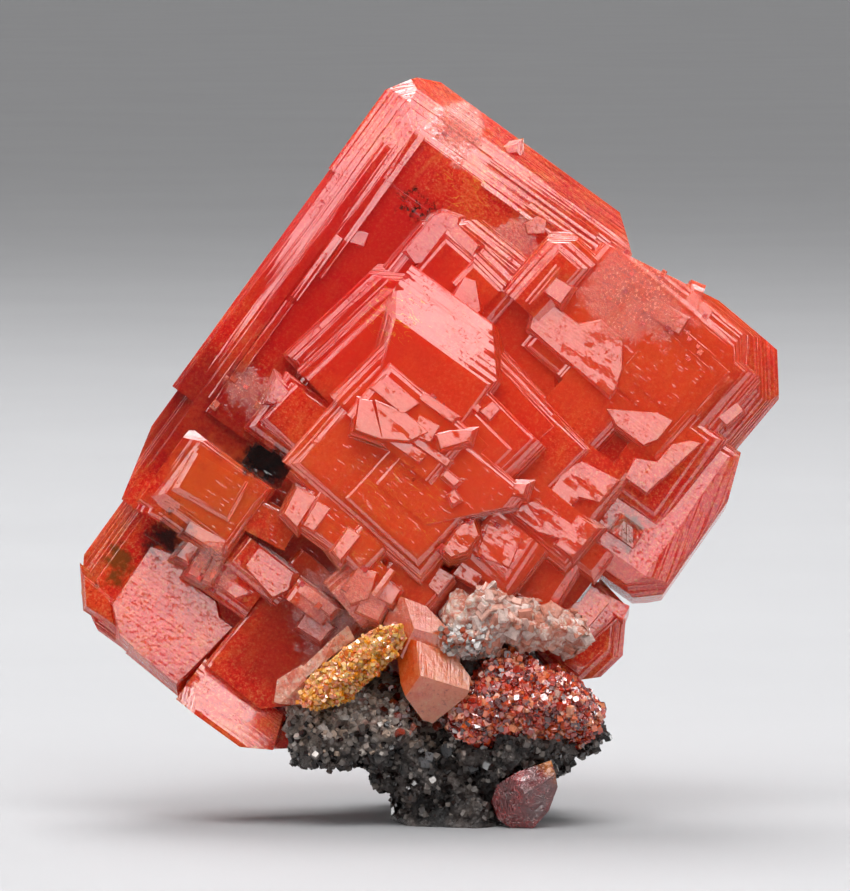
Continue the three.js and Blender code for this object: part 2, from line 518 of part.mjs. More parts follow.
// The dark hollows left of the middle and under the cube
const HOLLOWS = [
  { u: [-8.3, -5.5], v: [-8.7, -7.1], w: [-3.4, 6] },
  { u: [-10.7, -8.3], v: [-15.9, -14.75], w: [-1.6, 6], spin: 4 },
];

function steppedCrystal(grow) {
  const blocks = [...PLATES, ...edgeSteps(), ...MIDDLE, ...LOWER, ...UPPER_RIGHT, ...RIGHT];
  const whole = joined(blocks.map((block) => tablet(block, grow)));
  const hollowed = grow ? whole : whole.subtract(joined(HOLLOWS.map((one) => tablet(one))));
  return hollowed.add(joined(FACETS.map((one) => facet(one, grow))));
}

// The small rounded tablet under the right end
const ROUND = [
  {
    u: [12.5, 18.1], v: [-7.9, -1.6], w: [-3.8, 0.4], spin: -10, rear: 0.8,
    left: [0.5, 0.3], right: [0.9, 0.3], top: [0.6, 0.3], bottom: [0.7, 0.3],
    cuts: [
      [[0.75, 0.66, 0], [17.1, -2.8, 0]],
      [[0.8, -0.6, 0], [17.4, -6.8, 0]],
      [[-0.6, -0.8, 0], [13.4, -7.2, 0]],
      [[0.55, 0.45, 0.7], [16.6, -3.4, 0.1]],
    ],
  },
  {
    u: [13.0, 16.3], v: [-5.2, -2.1], w: [-3, 0.9], spin: -14, right: [0.2, 0.2], bottom: [0.3, 0.2],
    tip: 6,
  },
  { u: [13.4, 15.4], v: [-4.4, -2.2], w: [-3, 1.3], spin: -4, tip: 11, left: [0.3, 0.1] },
  { u: [14.2, 16.8], v: [-2.9, -1.9], w: [-3, 0.8], spin: 12, tip: 12 },
  { u: [15.2, 16.6], v: [-7.0, -6.4], w: [-3, 0.6], spin: 2, tip: 13 },
];
const roundCrystal = (grow) => joined(ROUND.map((block) => tablet(block, grow)));

// A repeatable stream of numbers from 0 to 1
function stream(seed) {
  let state = seed >>> 0;
  return () => {
    state = (state * 1664525 + 1013904223) >>> 0;
    return state / 2 ** 32;
  };
}

// An angular lump of rock: centre and radii in millimetres, with the given number of broken faces.
function lump({ at, size, seed, faces = 13, turn = 0 }, grow = 0) {
  const random = stream(seed);
  const golden = Math.PI * (3 - Math.sqrt(5));
  const planes = [];
  for (let i = 0; i < faces; i++) {
    const z = 1 - (2 * i + 1) / faces + (random() - 0.5) * 0.25;
    const ring = Math.sqrt(Math.max(0, 1 - z * z));
    const angle = i * golden + (random() - 0.5) * 0.7;
    const n = new THREE.Vector3(ring * Math.cos(angle), ring * Math.sin(angle), z).normalize();
    const reach = Math.hypot(n.x * size[0], n.y * size[1], n.z * size[2]) * (0.84 + 0.2 * random());
    planes.push([n.toArray(), n.clone().multiplyScalar(reach).toArray()]);
  }
  const place = new THREE.Matrix4().makeRotationY(radians(turn)).setPosition(...at);
  return convex(planes, place, grow);
}

// The rock, from its foot upward
const ROCK = [
  { at: [0.0, 1.2, 0.9], size: [3.3, 6.4, 4.4], seed: 11, faces: 17 },
  { at: [-2.5, -1.6, 3.6], size: [2.5, 3.2, 2.3], seed: 12 },
  { at: [-8.0, -1.6, 5.7], size: [2.9, 3.9, 2.3], seed: 13, faces: 16 },
  { at: [-5.2, -2.0, 6.1], size: [3.2, 3.6, 2.1], seed: 14, faces: 15, turn: -8 },
  { at: [3.3, -0.8, 5.5], size: [4.3, 4.9, 3.4], seed: 15, faces: 16, turn: -12 },
  { at: [6.3, -1.4, 6.3], size: [2.7, 3.7, 1.9], seed: 16, turn: -10 },
  { at: [-1.6, 0.9, 7.6], size: [4.2, 4.6, 3.3], seed: 17 },
  { at: [0.9, -0.6, 9.6], size: [2.6, 3.5, 2.3], seed: 18 },
  { at: [0.2, 6.8, 3.7], size: [4.4, 4.4, 4.4], seed: 19, faces: 15 },
  { at: [-2.6, 8.2, 7.2], size: [4.2, 3.2, 3.4], seed: 20 },
  { at: [3.4, 4.6, 7.4], size: [3.8, 4.0, 3.6], seed: 21 },
  { at: [-7.6, 5.2, 7.6], size: [2.6, 3.6, 2.6], seed: 22 },
];
const CHIPS = { count: 4, size: 1.0, seed: 77 };

function chips(grow) {
  const random = stream(CHIPS.seed);
  const made = [];
  for (let i = 0; i < CHIPS.count; i++) {
    const { at, size } = ROCK[Math.floor(random() * ROCK.length)];
    const angle = random() * Math.PI * 2;
    const z = random() * 1.5 - 0.75;
    const ring = Math.sqrt(1 - z * z);
    const out = [ring * Math.cos(angle), ring * Math.sin(angle), z];
    const middle = at.map((x, k) => x + out[k] * size[k] * 0.84);
    const share = () => CHIPS.size * (0.6 + 0.8 * random());
    const chip = { at: middle, size: [share(), share(), share()], seed: 100 + i, faces: 8 };
    made.push(lump(chip, grow));
  }
  return made;
}

const wholeRock = (grow) => joined([...ROCK.map((one) => lump(one, grow)), ...chips(grow)]);

// Everything below the foot, as one block
const BELOW = solidOf(new THREE.BoxGeometry(60, 60, 20).translate(0, 0, -10));

// A crystal of its own, turned freely: its faces are given in its own frame, which is placed by a Matrix4.
const placed = (at, turns) => {
  const angles = new THREE.Euler(...turns.map(radians), "XYZ");
  return new THREE.Matrix4().makeRotationFromEuler(angles).setPosition(...at);
};

// A block with its own bevelled ends, for the small crystals: half sizes, and the share of each
// that the ends keep.
function bar({ at, turns, half, point = 0.5, ends = 0.75 }, grow = 0) {
  const [x, y, z] = half;
  const planes = [];
  for (const sign of [1, -1]) {
    planes.push([[sign, 0, 0], [sign * x, 0, 0]]);
    planes.push([[0, sign, 0], [0, sign * y, 0]]);
    planes.push([[0, 0, sign], [0, 0, sign * z]]);
    for (const side of [1, -1]) {
      planes.push([[side * (1 - point), 0, sign * point], [side * x, 0, sign * z * ends]]);
      planes.push([[0, side * (1 - point), sign * point], [0, side * y, sign * z * ends]]);
      planes.push([[sign, side, 0], [sign * x * 0.9, side * y * 0.75, 0]]);
    }
  }
  return convex(planes, placed(at, turns), grow);
}

// A crystal seen from the front: its outline as [x, z], and faces that fall away from the apex
// toward the rock
function gem({ outline, apex, faces, back, taper = 0.18 }, grow = 0) {
  const middle = [0, 1].map((k) => outline.reduce((sum, p) => sum + p[k], 0) / outline.length);
  const planes = [[[0, 1, 0], [0, back, 0]], ...faces.map((normal) => [normal, apex])];
  outline.forEach(([x, z], i) => {
    const [a, b] = outline[(i + 1) % outline.length];
    const n = new THREE.Vector3(b - z, 0, x - a).normalize();
    if (n.x * (x - middle[0]) + n.z * (z - middle[1]) < 0) n.negate();
    planes.push([n.setY(taper).toArray(), [x, apex[1] + 1.5, z]]);
  });
  return convex(planes, new THREE.Matrix4(), grow);
}

// The pale pointed crystal low in front, and the orange plate that it stands on
const POINT = [
  {
    outline: [
      [-3.9, 11.4], [-3.1, 12.0], [-0.1, 11.0], [0.95, 9.5], [0.65, 8.4], [-1.4, 6.5], [-2.1, 6.8],
      [-3.4, 9.2],
    ],
    apex: [-2.2, -6.9, 9.8],
    faces: [[0.42, -0.8, 0.43], [-0.75, -0.62, 0.2], [0.12, -0.85, -0.5], [0.05, -0.98, 0.02]],
    back: -3.4,
  },
  {
    outline: [[-4.5, 12.9], [-3.5, 14.4], [-1.9, 13.8], [-0.2, 12.0], [0.1, 10.6], [-2.9, 10.4]],
    apex: [-2.6, -5.6, 12.6],
    faces: [[0.25, -0.9, 0.35], [-0.5, -0.85, 0.1], [0.1, -0.95, -0.2]],
    back: -2.8,
  },
];
const pointCrystal = (grow) => joined(POINT.map((one) => gem(one, grow)));

// The yellow-orange blade, set on edge, with small crystals along its lower face
const BLADE = {
  outline: [
    [-3.6, 12.7], [-3.2, 12.0], [-4.4, 10.3], [-6.7, 8.2], [-8.4, 7.7], [-9.6, 8.1], [-9.1, 9.4],
    [-6.7, 11.4], [-4.9, 12.5],
  ],
  apex: [-6.3, -6.3, 10.4],
  faces: [[-0.4, -0.79, 0.46], [0.36, -0.84, -0.41]],
  back: -3.2,
};
const GRAINS = { count: 4, size: 0.36, seed: 5, from: [-8.2, 8.4], to: [-3.9, 11.9], across: 0.7 };
function bladeCrystal(grow) {
  const random = stream(GRAINS.seed);
  const grains = [];
  const { from, to, across, size } = GRAINS;
  for (let i = 0; i < GRAINS.count; i++) {
    const along = (i + 0.3 + 0.4 * random()) / GRAINS.count;
    const off = across * random();
    const x = from[0] + (to[0] - from[0]) * along + 0.65 * off;
    const z = from[1] + (to[1] - from[1]) * along - 0.76 * off;
    const half = [1, 1, 1].map(() => size * (0.7 + 0.6 * random()));
    const turns = [360 * random(), 360 * random(), 0];
    grains.push(bar({ at: [x, -6.15 + 0.55 * off, z + 0.15], turns, half }, grow));
  }
  return joined([gem(BLADE, grow), ...grains]);
}

// The pale plate behind the blade
const PALE = [
  {
    outline: [
      [-6.9, 12.6], [-6.5, 11.9], [-8.6, 9.4], [-9.4, 8.6], [-10.3, 9.2], [-9.3, 10.1], [-8.3, 11.9],
    ],
    apex: [-8.2, -5.1, 10.6],
    faces: [[-0.45, -0.85, 0.25], [0.3, -0.93, -0.1]],
    back: -2.6,
  },
  {
    outline: [[-8.6, 9.6], [-8.4, 8.4], [-9.7, 7.9], [-11.1, 8.1], [-11.0, 9.2], [-9.6, 10.0]],
    apex: [-9.8, -5.0, 8.9],
    faces: [[-0.4, -0.85, 0.35], [0.2, -0.93, -0.3]],
    back: -2.4,
  },
];
const palePlate = (grow) => joined(PALE.map((one) => gem(one, grow)));

// The brown-red crystal under the right side, which reaches down to the foot's level
const FOOT = [
  {
    outline: [
      [2.15, 1.6], [2.6, 2.7], [4.0, 3.5], [5.9, 4.2], [6.3, 2.6], [5.8, 1.1], [4.8, 0.05], [3.6, -0.1],
      [2.6, 0.5],
    ],
    apex: [4.3, -6.0, 2.3],
    faces: [[0.1, -0.9, 0.4], [-0.6, -0.75, -0.2], [0.5, -0.8, -0.3], [-0.2, -0.85, -0.5]],
    back: -2.0,
  },
];
const footCrystal = (grow) => joined(FOOT.map((one) => gem(one, grow)));

// The drusy ledge over the dark gap: pale lumps and short prisms side by side
const LEDGE = [
  { at: [0.5, -3.9, 13.2], size: [1.7, 1.7, 1.5], seed: 31 },
  { at: [2.3, -4.3, 13.3], size: [2.3, 1.9, 1.5], seed: 32, turn: 4 },
  { at: [4.4, -4.2, 12.7], size: [2.4, 1.8, 1.2], seed: 33, turn: 12 },
  { at: [6.6, -3.8, 12.4], size: [2.2, 1.6, 1.0], seed: 34, turn: 16 },
  { at: [1.0, -4.6, 12.0], size: [1.9, 1.6, 1.2], seed: 35, turn: -20 },
  { at: [-0.2, -3.2, 11.6], size: [1.4, 1.6, 1.5], seed: 36 },
];
const LEDGE_PRISMS = { count: 3, seed: 8, half: [0.32, 0.32, 0.75] };
function quartzLedge(grow) {
  const random = stream(LEDGE_PRISMS.seed);
  const prisms = [];
  for (let i = 0; i < LEDGE_PRISMS.count; i++) {
    const { at, size } = LEDGE[i % LEDGE.length];
    const offset = [random() * 2 - 1, -0.5 - 0.4 * random(), random() * 1.4 - 0.5];
    const middle = at.map((x, k) => x + offset[k] * size[k] * 0.75);
    const turns = [60 * random() - 30, 50 + 60 * random(), 90 * random()];
    prisms.push(bar({ at: middle, turns, half: LEDGE_PRISMS.half, ends: 0.6 }, grow));
  }
  return joined([...LEDGE.map((one) => lump(one, grow)), ...prisms]);
}

// The crust of small red crystals on the right of the rock
const CRUST = [
  { at: [3.6, -3.9, 8.0], size: [3.0, 2.3, 2.2], seed: 41, turn: 8 },
  { at: [6.3, -3.6, 7.5], size: [2.6, 2.3, 1.6], seed: 42, turn: 14 },
  { at: [1.6, -4.2, 7.2], size: [1.7, 1.6, 1.9], seed: 43 },
];
const RED_GRAINS = { count: 5, size: 0.5, seed: 9 };
function redCrust(grow) {
  const random = stream(RED_GRAINS.seed);
  const grains = [];
  for (let i = 0; i < RED_GRAINS.count; i++) {
    const { at, size } = CRUST[i % CRUST.length];
    const angle = -Math.PI * (0.05 + 0.9 * random());
    const z = random() * 1.5 - 0.55;
    const ring = Math.sqrt(1 - Math.min(1, z * z));
    const out = [ring * Math.cos(angle), ring * Math.sin(angle), z];
    const middle = at.map((x, k) => x + out[k] * size[k] * 0.86);
    const half = [1, 1, 1].map(() => RED_GRAINS.size * (0.7 + 0.6 * random()));
    const turns = [360 * random(), 360 * random(), 0];
    grains.push(bar({ at: middle, turns, half }, grow));
  }
  return joined([...CRUST.map((one) => lump(one, grow)), ...grains]);
}

// Each piece in turn gives way to the ones before it, which it touches with a small gap between.
const PIECES = [
  ["stepped_crystal", steppedCrystal, { color: 0xc92a1a, roughness: 0.12 }],
  ["round_crystal", roundCrystal, { color: 0xb8281c, roughness: 0.15 }],
  ["point_crystal", pointCrystal, { color: 0xd9764f, roughness: 0.2 }],
  ["blade_crystal", bladeCrystal, { color: 0xe0831c, roughness: 0.4 }],
  ["pale_plate", palePlate, { color: 0xcf9c92, roughness: 0.35 }],
  ["foot_crystal", footCrystal, { color: 0x6e2b22, roughness: 0.3 }],
  ["quartz_ledge", quartzLedge, { color: 0xb9998b, roughness: 0.4 }],
  ["red_crust", redCrust, { color: 0xa43a1c, roughness: 0.35 }],
  ["matrix_rock", wholeRock, { color: 0x45403c, roughness: 0.85 }],
];

const largest = (solid) =>
  solid.decompose().reduce((best, one) => (one.volume() > best.volume() ? one : best));

function geometryOf(solid) {
  const { numProp, vertProperties, triVerts } = solid.getMesh();
  const positions = new Float32Array((vertProperties.length / numProp) * 3);
  for (let i = 0; i < positions.length / 3; i++)
    positions.set(vertProperties.subarray(i * numProp, i * numProp + 3), i * 3);
  return new THREE.BufferGeometry()
    .setAttribute("position", new THREE.BufferAttribute(positions, 3))
    .setIndex(new THREE.BufferAttribute(triVerts, 1));
}

const specimen = new THREE.Group();
let taken = BELOW;
for (const [name, make, look] of PIECES) {
  const solid = largest(make(0).subtract(taken).simplify(SIMPLEST));
  taken = taken.add(make(GAP));
  const geometry = geometryOf(largest(solidOf(geometryOf(solid), COARSE)));
  const middle = new THREE.Vector3();
  geometry.computeBoundingBox();
  geometry.boundingBox.getCenter(middle);
  geometry.translate(...middle.clone().negate().toArray());
  const mesh = new THREE.Mesh(geometry, new THREE.MeshStandardMaterial({ metalness: 0, ...look }));
  mesh.name = name;
  mesh.position.copy(middle);
  specimen.add(mesh);
}

export default specimen;
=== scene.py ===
"""The looks of a wulfenite specimen: clear stepped crystals on dark rock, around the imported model."""

import math
import random

import bmesh
import bpy
from mathutils import Matrix, Vector, noise


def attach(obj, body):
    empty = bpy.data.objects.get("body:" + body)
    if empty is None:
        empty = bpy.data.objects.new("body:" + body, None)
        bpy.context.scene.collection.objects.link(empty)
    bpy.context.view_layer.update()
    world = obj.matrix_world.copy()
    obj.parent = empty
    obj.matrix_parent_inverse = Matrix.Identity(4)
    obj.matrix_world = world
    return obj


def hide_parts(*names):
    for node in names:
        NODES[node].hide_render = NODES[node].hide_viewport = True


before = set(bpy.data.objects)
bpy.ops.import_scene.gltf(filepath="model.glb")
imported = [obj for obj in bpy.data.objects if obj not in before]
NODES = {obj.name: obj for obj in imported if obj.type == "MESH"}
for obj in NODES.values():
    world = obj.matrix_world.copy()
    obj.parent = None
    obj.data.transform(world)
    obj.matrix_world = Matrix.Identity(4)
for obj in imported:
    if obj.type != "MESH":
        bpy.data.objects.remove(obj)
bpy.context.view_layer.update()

MM = 0.001

# The large crystal's own frame: u runs down to the right, v up to the right, w out of its flat face
LEAN_BACK = math.radians(4)
TURN = math.radians(36)
CENTRE = Vector((-1.6, 0, 24.7)) * MM
RIGHT = Vector((1, 0, 0))
UP = Vector((0, math.sin(LEAN_BACK), math.cos(LEAN_BACK)))
U = RIGHT * math.cos(TURN) - UP * math.sin(TURN)
V = RIGHT * math.sin(TURN) + UP * math.cos(TURN)
W = U.cross(V)
TO_CRYSTAL = Matrix((U, V, W))
CRYSTAL_AXES = TO_CRYSTAL.transposed()

# The camera
PHOTO_HEIGHT = 55.69 * MM  # of the plane through the specimen
CAMERA_DISTANCE = 0.5
SENSOR = 36.0
AIM = Vector((-1.91, -2.0, 23.75)) * MM


# Nodes


class Graph:
    """A material's node tree, with short calls for the nodes used here."""

    def __init__(self, name):
        self.material = bpy.data.materials.new(name)
        self.material.use_nodes = True
        self.tree = self.material.node_tree
        self.tree.nodes.clear()
        self.output = self.node("ShaderNodeOutputMaterial")

    def node(self, kind, inputs=None, **settings):
        made = self.tree.nodes.new(kind)
        for key, value in settings.items():
            setattr(made, key, value)
        for key, value in (inputs or {}).items():
            self.put(made.inputs[key], value)
        return made

    def put(self, socket, value):
        if isinstance(value, bpy.types.NodeSocket):
            self.tree.links.new(value, socket)
        else:
            socket.default_value = value

    def position(self):
        """The row's frame in millimetres."""
        place = self.node("ShaderNodeTexCoord").outputs["Object"]
        return self.node("ShaderNodeMapping", {"Vector": place, "Scale": [1 / MM] * 3}).outputs[0]

    def crystal(self, scale=(1, 1, 1)):
        """The large crystal's frame in millimetres, each axis then scaled."""
        turned = self.node(
            "ShaderNodeMapping",
            {
                "Vector": self.position(),
                "Rotation": TO_CRYSTAL.to_euler(),
                "Location": -(TO_CRYSTAL @ CENTRE) / MM,
            },
        ).outputs[0]
        if scale == (1, 1, 1):
            return turned
        return self.node("ShaderNodeMapping", {"Vector": turned, "Scale": scale}).outputs[0]

    def noise(self, vector, scale, detail=3, rough=0.55, distortion=0.0):
        made = self.node(
            "ShaderNodeTexNoise",
            {
                "Vector": vector,
                "Scale": scale,
                "Detail": detail,
                "Roughness": rough,
                "Distortion": distortion,
            },
        )
        return made.outputs["Fac"]

    def ragged(self, vector, scale, amount):
        """A vector shifted about by noise, so that round zones get uneven edges."""
        given = {"Vector": vector, "Scale": scale, "Detail": 4.0, "Roughness": 0.6}
        made = self.node("ShaderNodeTexNoise", given)
        centred = {0: made.outputs["Color"], 1: (-0.5, -0.5, -0.5)}
        off = self.node("ShaderNodeVectorMath", centred, operation="ADD")
        scaled = {0: off.outputs[0], 1: (amount, amount, 0), 2: vector}
        return self.node("ShaderNodeVectorMath", scaled, operation="MULTIPLY_ADD").outputs[0]

    def cells(self, vector, scale, output="Distance", metric="EUCLIDEAN"):
        made = self.node("ShaderNodeTexVoronoi", {"Vector": vector, "Scale": scale}, distance=metric)
        return made.outputs[output]

    def math(self, operation, a, b=0.0, clamp=False):
        return self.node("ShaderNodeMath", {0: a, 1: b}, operation=operation, use_clamp=clamp).outputs[0]

    def remap(self, value, low, high, start=0.0, end=1.0, smooth=False):
        made = self.node(
            "ShaderNodeMapRange",
            {"Value": value, "From Min": low, "From Max": high, "To Min": start, "To Max": end},
            interpolation_type="SMOOTHSTEP" if smooth else "LINEAR",
        )
        return made.outputs[0]

    def mix(self, factor, a, b):
        """A colour between a and b."""
        made = self.node("ShaderNodeMix", data_type="RGBA", clamp_factor=True)
        self.put(made.inputs[0], factor)
        self.put(made.inputs[6], a)
        self.put(made.inputs[7], b)
        return made.outputs[2]

    def blend(self, factor, a, b):
        """A number between a and b."""
        return self.math("ADD", a, self.math("MULTIPLY", factor, self.math("SUBTRACT", b, a)))

    def axes(self, vector):
        return self.node("ShaderNodeSeparateXYZ", {0: vector}).outputs

    def bump(self, height, distance, strength=1.0, normal=None):
        given = {"Height": height, "Distance": distance * MM, "Strength": strength}
        if normal is not None:
            given["Normal"] = normal
        return self.node("ShaderNodeBump", given).outputs[0]

    def lean(self, normal, axis, share):
        """A normal turned towards an axis by a share."""
        made = self.node("ShaderNodeMix", data_type="VECTOR")
        self.put(made.inputs[0], share)
        self.put(made.inputs[4], normal)
        self.put(made.inputs[5], axis)
        return self.node("ShaderNodeVectorMath", {0: made.outputs[1]}, operation="NORMALIZE").outputs[0]

    def facing(self, axis):
        """How far the surface looks along an axis, from -1 to 1."""
        normal = self.node("ShaderNodeNewGeometry").outputs["True Normal"]
        made = self.node("ShaderNodeVectorMath", {0: normal, 1: axis}, operation="DOT_PRODUCT")
        return made.outputs["Value"]

    def near(self, vector, spot, radius, soft):
        """1 within radius of a spot, fading to 0 over soft."""
        made = self.node("ShaderNodeVectorMath", {0: vector, 1: spot}, operation="DISTANCE")
        return self.remap(made.outputs["Value"], radius + soft, radius, smooth=True)

    def shade(self, **inputs):
        given = {key.replace("_", " "): value for key, value in inputs.items()}
        shader = self.node("ShaderNodeBsdfPrincipled", given)
        self.tree.links.new(shader.outputs[0], self.output.inputs["Surface"])

    def absorb(self, color, density):
        """Plain absorption inside the solid; density is per metre."""
        inside = self.node("ShaderNodeVolumeAbsorption", {"Color": (*color, 1), "Density": density})
        self.tree.links.new(inside.outputs[0], self.output.inputs["Volume"])


def colour(*rgb):
    """A colour given in the screen's 0 to 255 scale."""
    linear = [((c / 255 + 0.055) / 1.055) ** 2.4 if c > 10 else c / 255 / 12.92 for c in rgb]
    return (*linear, 1)


# Materials

WULFENITE_IOR = 2.3
QUARTZ_IOR = 1.54

# Colour zones of the large crystal: spot as u and v, radius, softness, colour, strength
ZONES = [
    ((-10.0, 5.0), 4.5, 6.0, colour(222, 22, 22), 0.8),
    ((-12.0, -8.0), 2.5, 4.0, colour(150, 12, 18), 0.75),
    ((-1.0, 3.0), 4.5, 5.0, colour(255, 66, 34), 0.7),
    ((7.5, 12.5), 4.5, 5.5, colour(255, 84, 40), 0.75),
    ((1.0, -5.5), 5.0, 5.0, colour(255, 92, 44), 0.75),
    ((9.0, -2.0), 3.5, 4.0, colour(252, 84, 48), 0.7),
    ((-8.6, -11.5), 2.0, 2.2, colour(236, 100, 40), 0.8),
    ((-7.2, -7.9), 0.9, 0.9, colour(44, 14, 7), 0.92),
    ((-9.3, -15.3), 0.5, 1.2, colour(40, 8, 8), 0.9),
    ((-11.0, -18.4), 0.5, 1.0, colour(112, 76, 16), 0.85),
    ((13.8, 2.0), 0.5, 0.9, colour(120, 66, 34), 0.8),
    ((0.8, -16.5), 1.8, 3.0, colour(170, 44, 22), 0.75),
]

# Granular patches: spot, radius, softness, strength
FROST = [
    ((-9.6, 16.4), 1.0, 1.4, 0.9),
    ((5.5, 14.8), 1.8, 2.6, 0.8),
    ((-6.1, -15.3), 0.9, 1.0, 0.9),
    ((-10.8, -4.8), 0.5, 1.2, 0.8),
    ((2.5, -12.5), 1.5, 2.5, 0.6),
    ((-2.5, 12.4), 0.6, 1.2, 0.6),
]

# The same for golden threads and dark grit inside, faces with broken edges, smooth bevels and tiny facets
THREADS = [((-6.2, 4.4), 1.2, 1.4, 0.9), ((-6.8, 13.4), 1.0, 1.4, 0.8), ((1.5, -6.0), 2.5, 3.0, 0.3)]
GRIT = [((-8.9, 10.6), 0.5, 0.9, 1.0), ((-10.2, -13.2), 0.4, 0.8, 0.7), ((1.2, -3.2), 0.3, 0.5, 0.8)]
BROKEN = [((8.5, -1.5), 4.5, 2.0, 1.0), ((0.0, 0.3), 2.6, 1.0, 1.0), ((6.5, 9.2), 2.0, 1.0, 1.0)]
SMOOTH = [((-3.3, 6.1), 2.6, 0.8, 1.0), ((-11.6, -12.0), 1.6, 0.8, 1.0), ((0.3, -21.8), 2.6, 1.0, 1.0)]
GLINTS = [
    ((0.5, -5.5), 4.0, 2.5, 1.0),
    ((7.5, -3.0), 3.5, 3.0, 0.9),
    ((8.5, 12.5), 3.0, 3.0, 0.8),
    ((-5.0, -12.5), 3.5, 3.0, 0.9),
]

# Where small plates edge the steps, and where crumbs cover the surface: spot as u and v, radius
BROKEN_EDGES = [
    ((-6.0, -15.2), 2.6),
    ((0.5, -11.5), 3.2),
    ((6.0, -3.5), 3.0),
    ((-0.5, 0.8), 2.2),
    ((-10.5, -5.5), 2.2),
]
CRUMBS = [
    ((-9.2, 16.0), 2.0),
    ((5.5, 15.0), 3.4),
    ((9.5, 14.0), 2.0),
    ((-6.0, -15.3), 1.2),
    ((-10.6, -4.9), 0.9),
]

# The way that the faces look which mirror the front light
GLINT = Vector((0, -math.cos(math.radians(11)), math.sin(math.radians(11))))


# A face's cosine against the large flat faces: between the two, one kind fades into the next
FLAT_FACE = (0.9965, 0.9985)
BEVEL_FACE = (0.97, 0.93)
FRONT_FACE = (0.1, 0.3)


def zone(g, place, spots):
    """The strongest of several soft round patches."""
    total = 0.0
    for (u, v), radius, soft, strength in spots:
        mask = g.math("MULTIPLY", g.near(place, (u, v, 0), radius, soft), strength)
        total = g.math("MAXIMUM", total, mask)
    return total


def body_colour(g, place, body):
    """Red with brighter clouds and veils, and fine flecks."""
    cloud = g.noise(place, 0.28, 2, 0.6, 0.6)
    base = g.mix(g.remap(cloud, 0.4, 0.66), body, colour(255, 84, 34))
    veil = g.noise(g.crystal((1, 0.35, 1)), 0.9, 3, 0.65, 1.2)
    base = g.mix(g.remap(veil, 0.52, 0.7, 0, 0.5), base, colour(255, 128, 60))
    base = g.mix(g.remap(veil, 0.45, 0.3, 0, 0.6), base, colour(176, 14, 16))
    flecks = g.noise(place, 4.5, 4, 0.85)
    base = g.mix(g.remap(flecks, 0.53, 0.62, 0, 0.7), base, colour(255, 160, 96))
    return g.mix(g.remap(flecks, 0.46, 0.37, 0, 0.7), base, colour(150, 10, 10))


def stains(g, flat, base):
    """The large crystal's colour zones, threads and grit."""
    for (u, v), radius, soft, tint, strength in ZONES:
        mask = g.math("MULTIPLY", g.near(flat, (u, v, 0), radius, soft), strength)
        base = g.mix(mask, base, tint)
    ridge = g.noise(g.crystal((0.5, 1.6, 1)), 0.9, 2, 0.5, 1.4)
    line = g.remap(g.math("ABSOLUTE", g.math("SUBTRACT", ridge, 0.5)), 0.012, 0.003)
    base = g.mix(g.math("MULTIPLY", line, zone(g, flat, THREADS)), base, colour(255, 190, 60))
    grit = g.remap(g.noise(g.crystal(), 2.2, 5, 0.7), 0.5, 0.56)
    return g.mix(g.math("MULTIPLY", grit, zone(g, flat, GRIT)), base, colour(70, 22, 8))


def treads(g, place, flat):
    """Where a front bevel is broken by long narrow flats that lie as the large faces do: 1 on the flats."""
    slope = g.math("MULTIPLY", g.remap(g.facing(W), *BEVEL_FACE), g.remap(g.facing(W), *FRONT_FACE))
    streaks = g.noise(g.crystal((0.06, 0.06, 7)), 1, 4, 0.66)
    u, v, _ = g.axes(place)
    level = g.remap(zone(g, flat, SMOOTH), 0, 1, 0.49, 0.68)
    level = g.blend(g.remap(u, -10.8, -11.6), level, g.remap(v, -5, 9, 0.42, 0.57))
    level = g.blend(g.remap(v, 13.2, 14.2), level, g.remap(u, -10, -2, 0.57, 0.48))
    level = g.blend(g.remap(u, 15.6, 16.2), level, 0.5)
    return g.math("MULTIPLY", g.remap(g.math("SUBTRACT", streaks, level), 0.0, 0.02, smooth=True), slope)


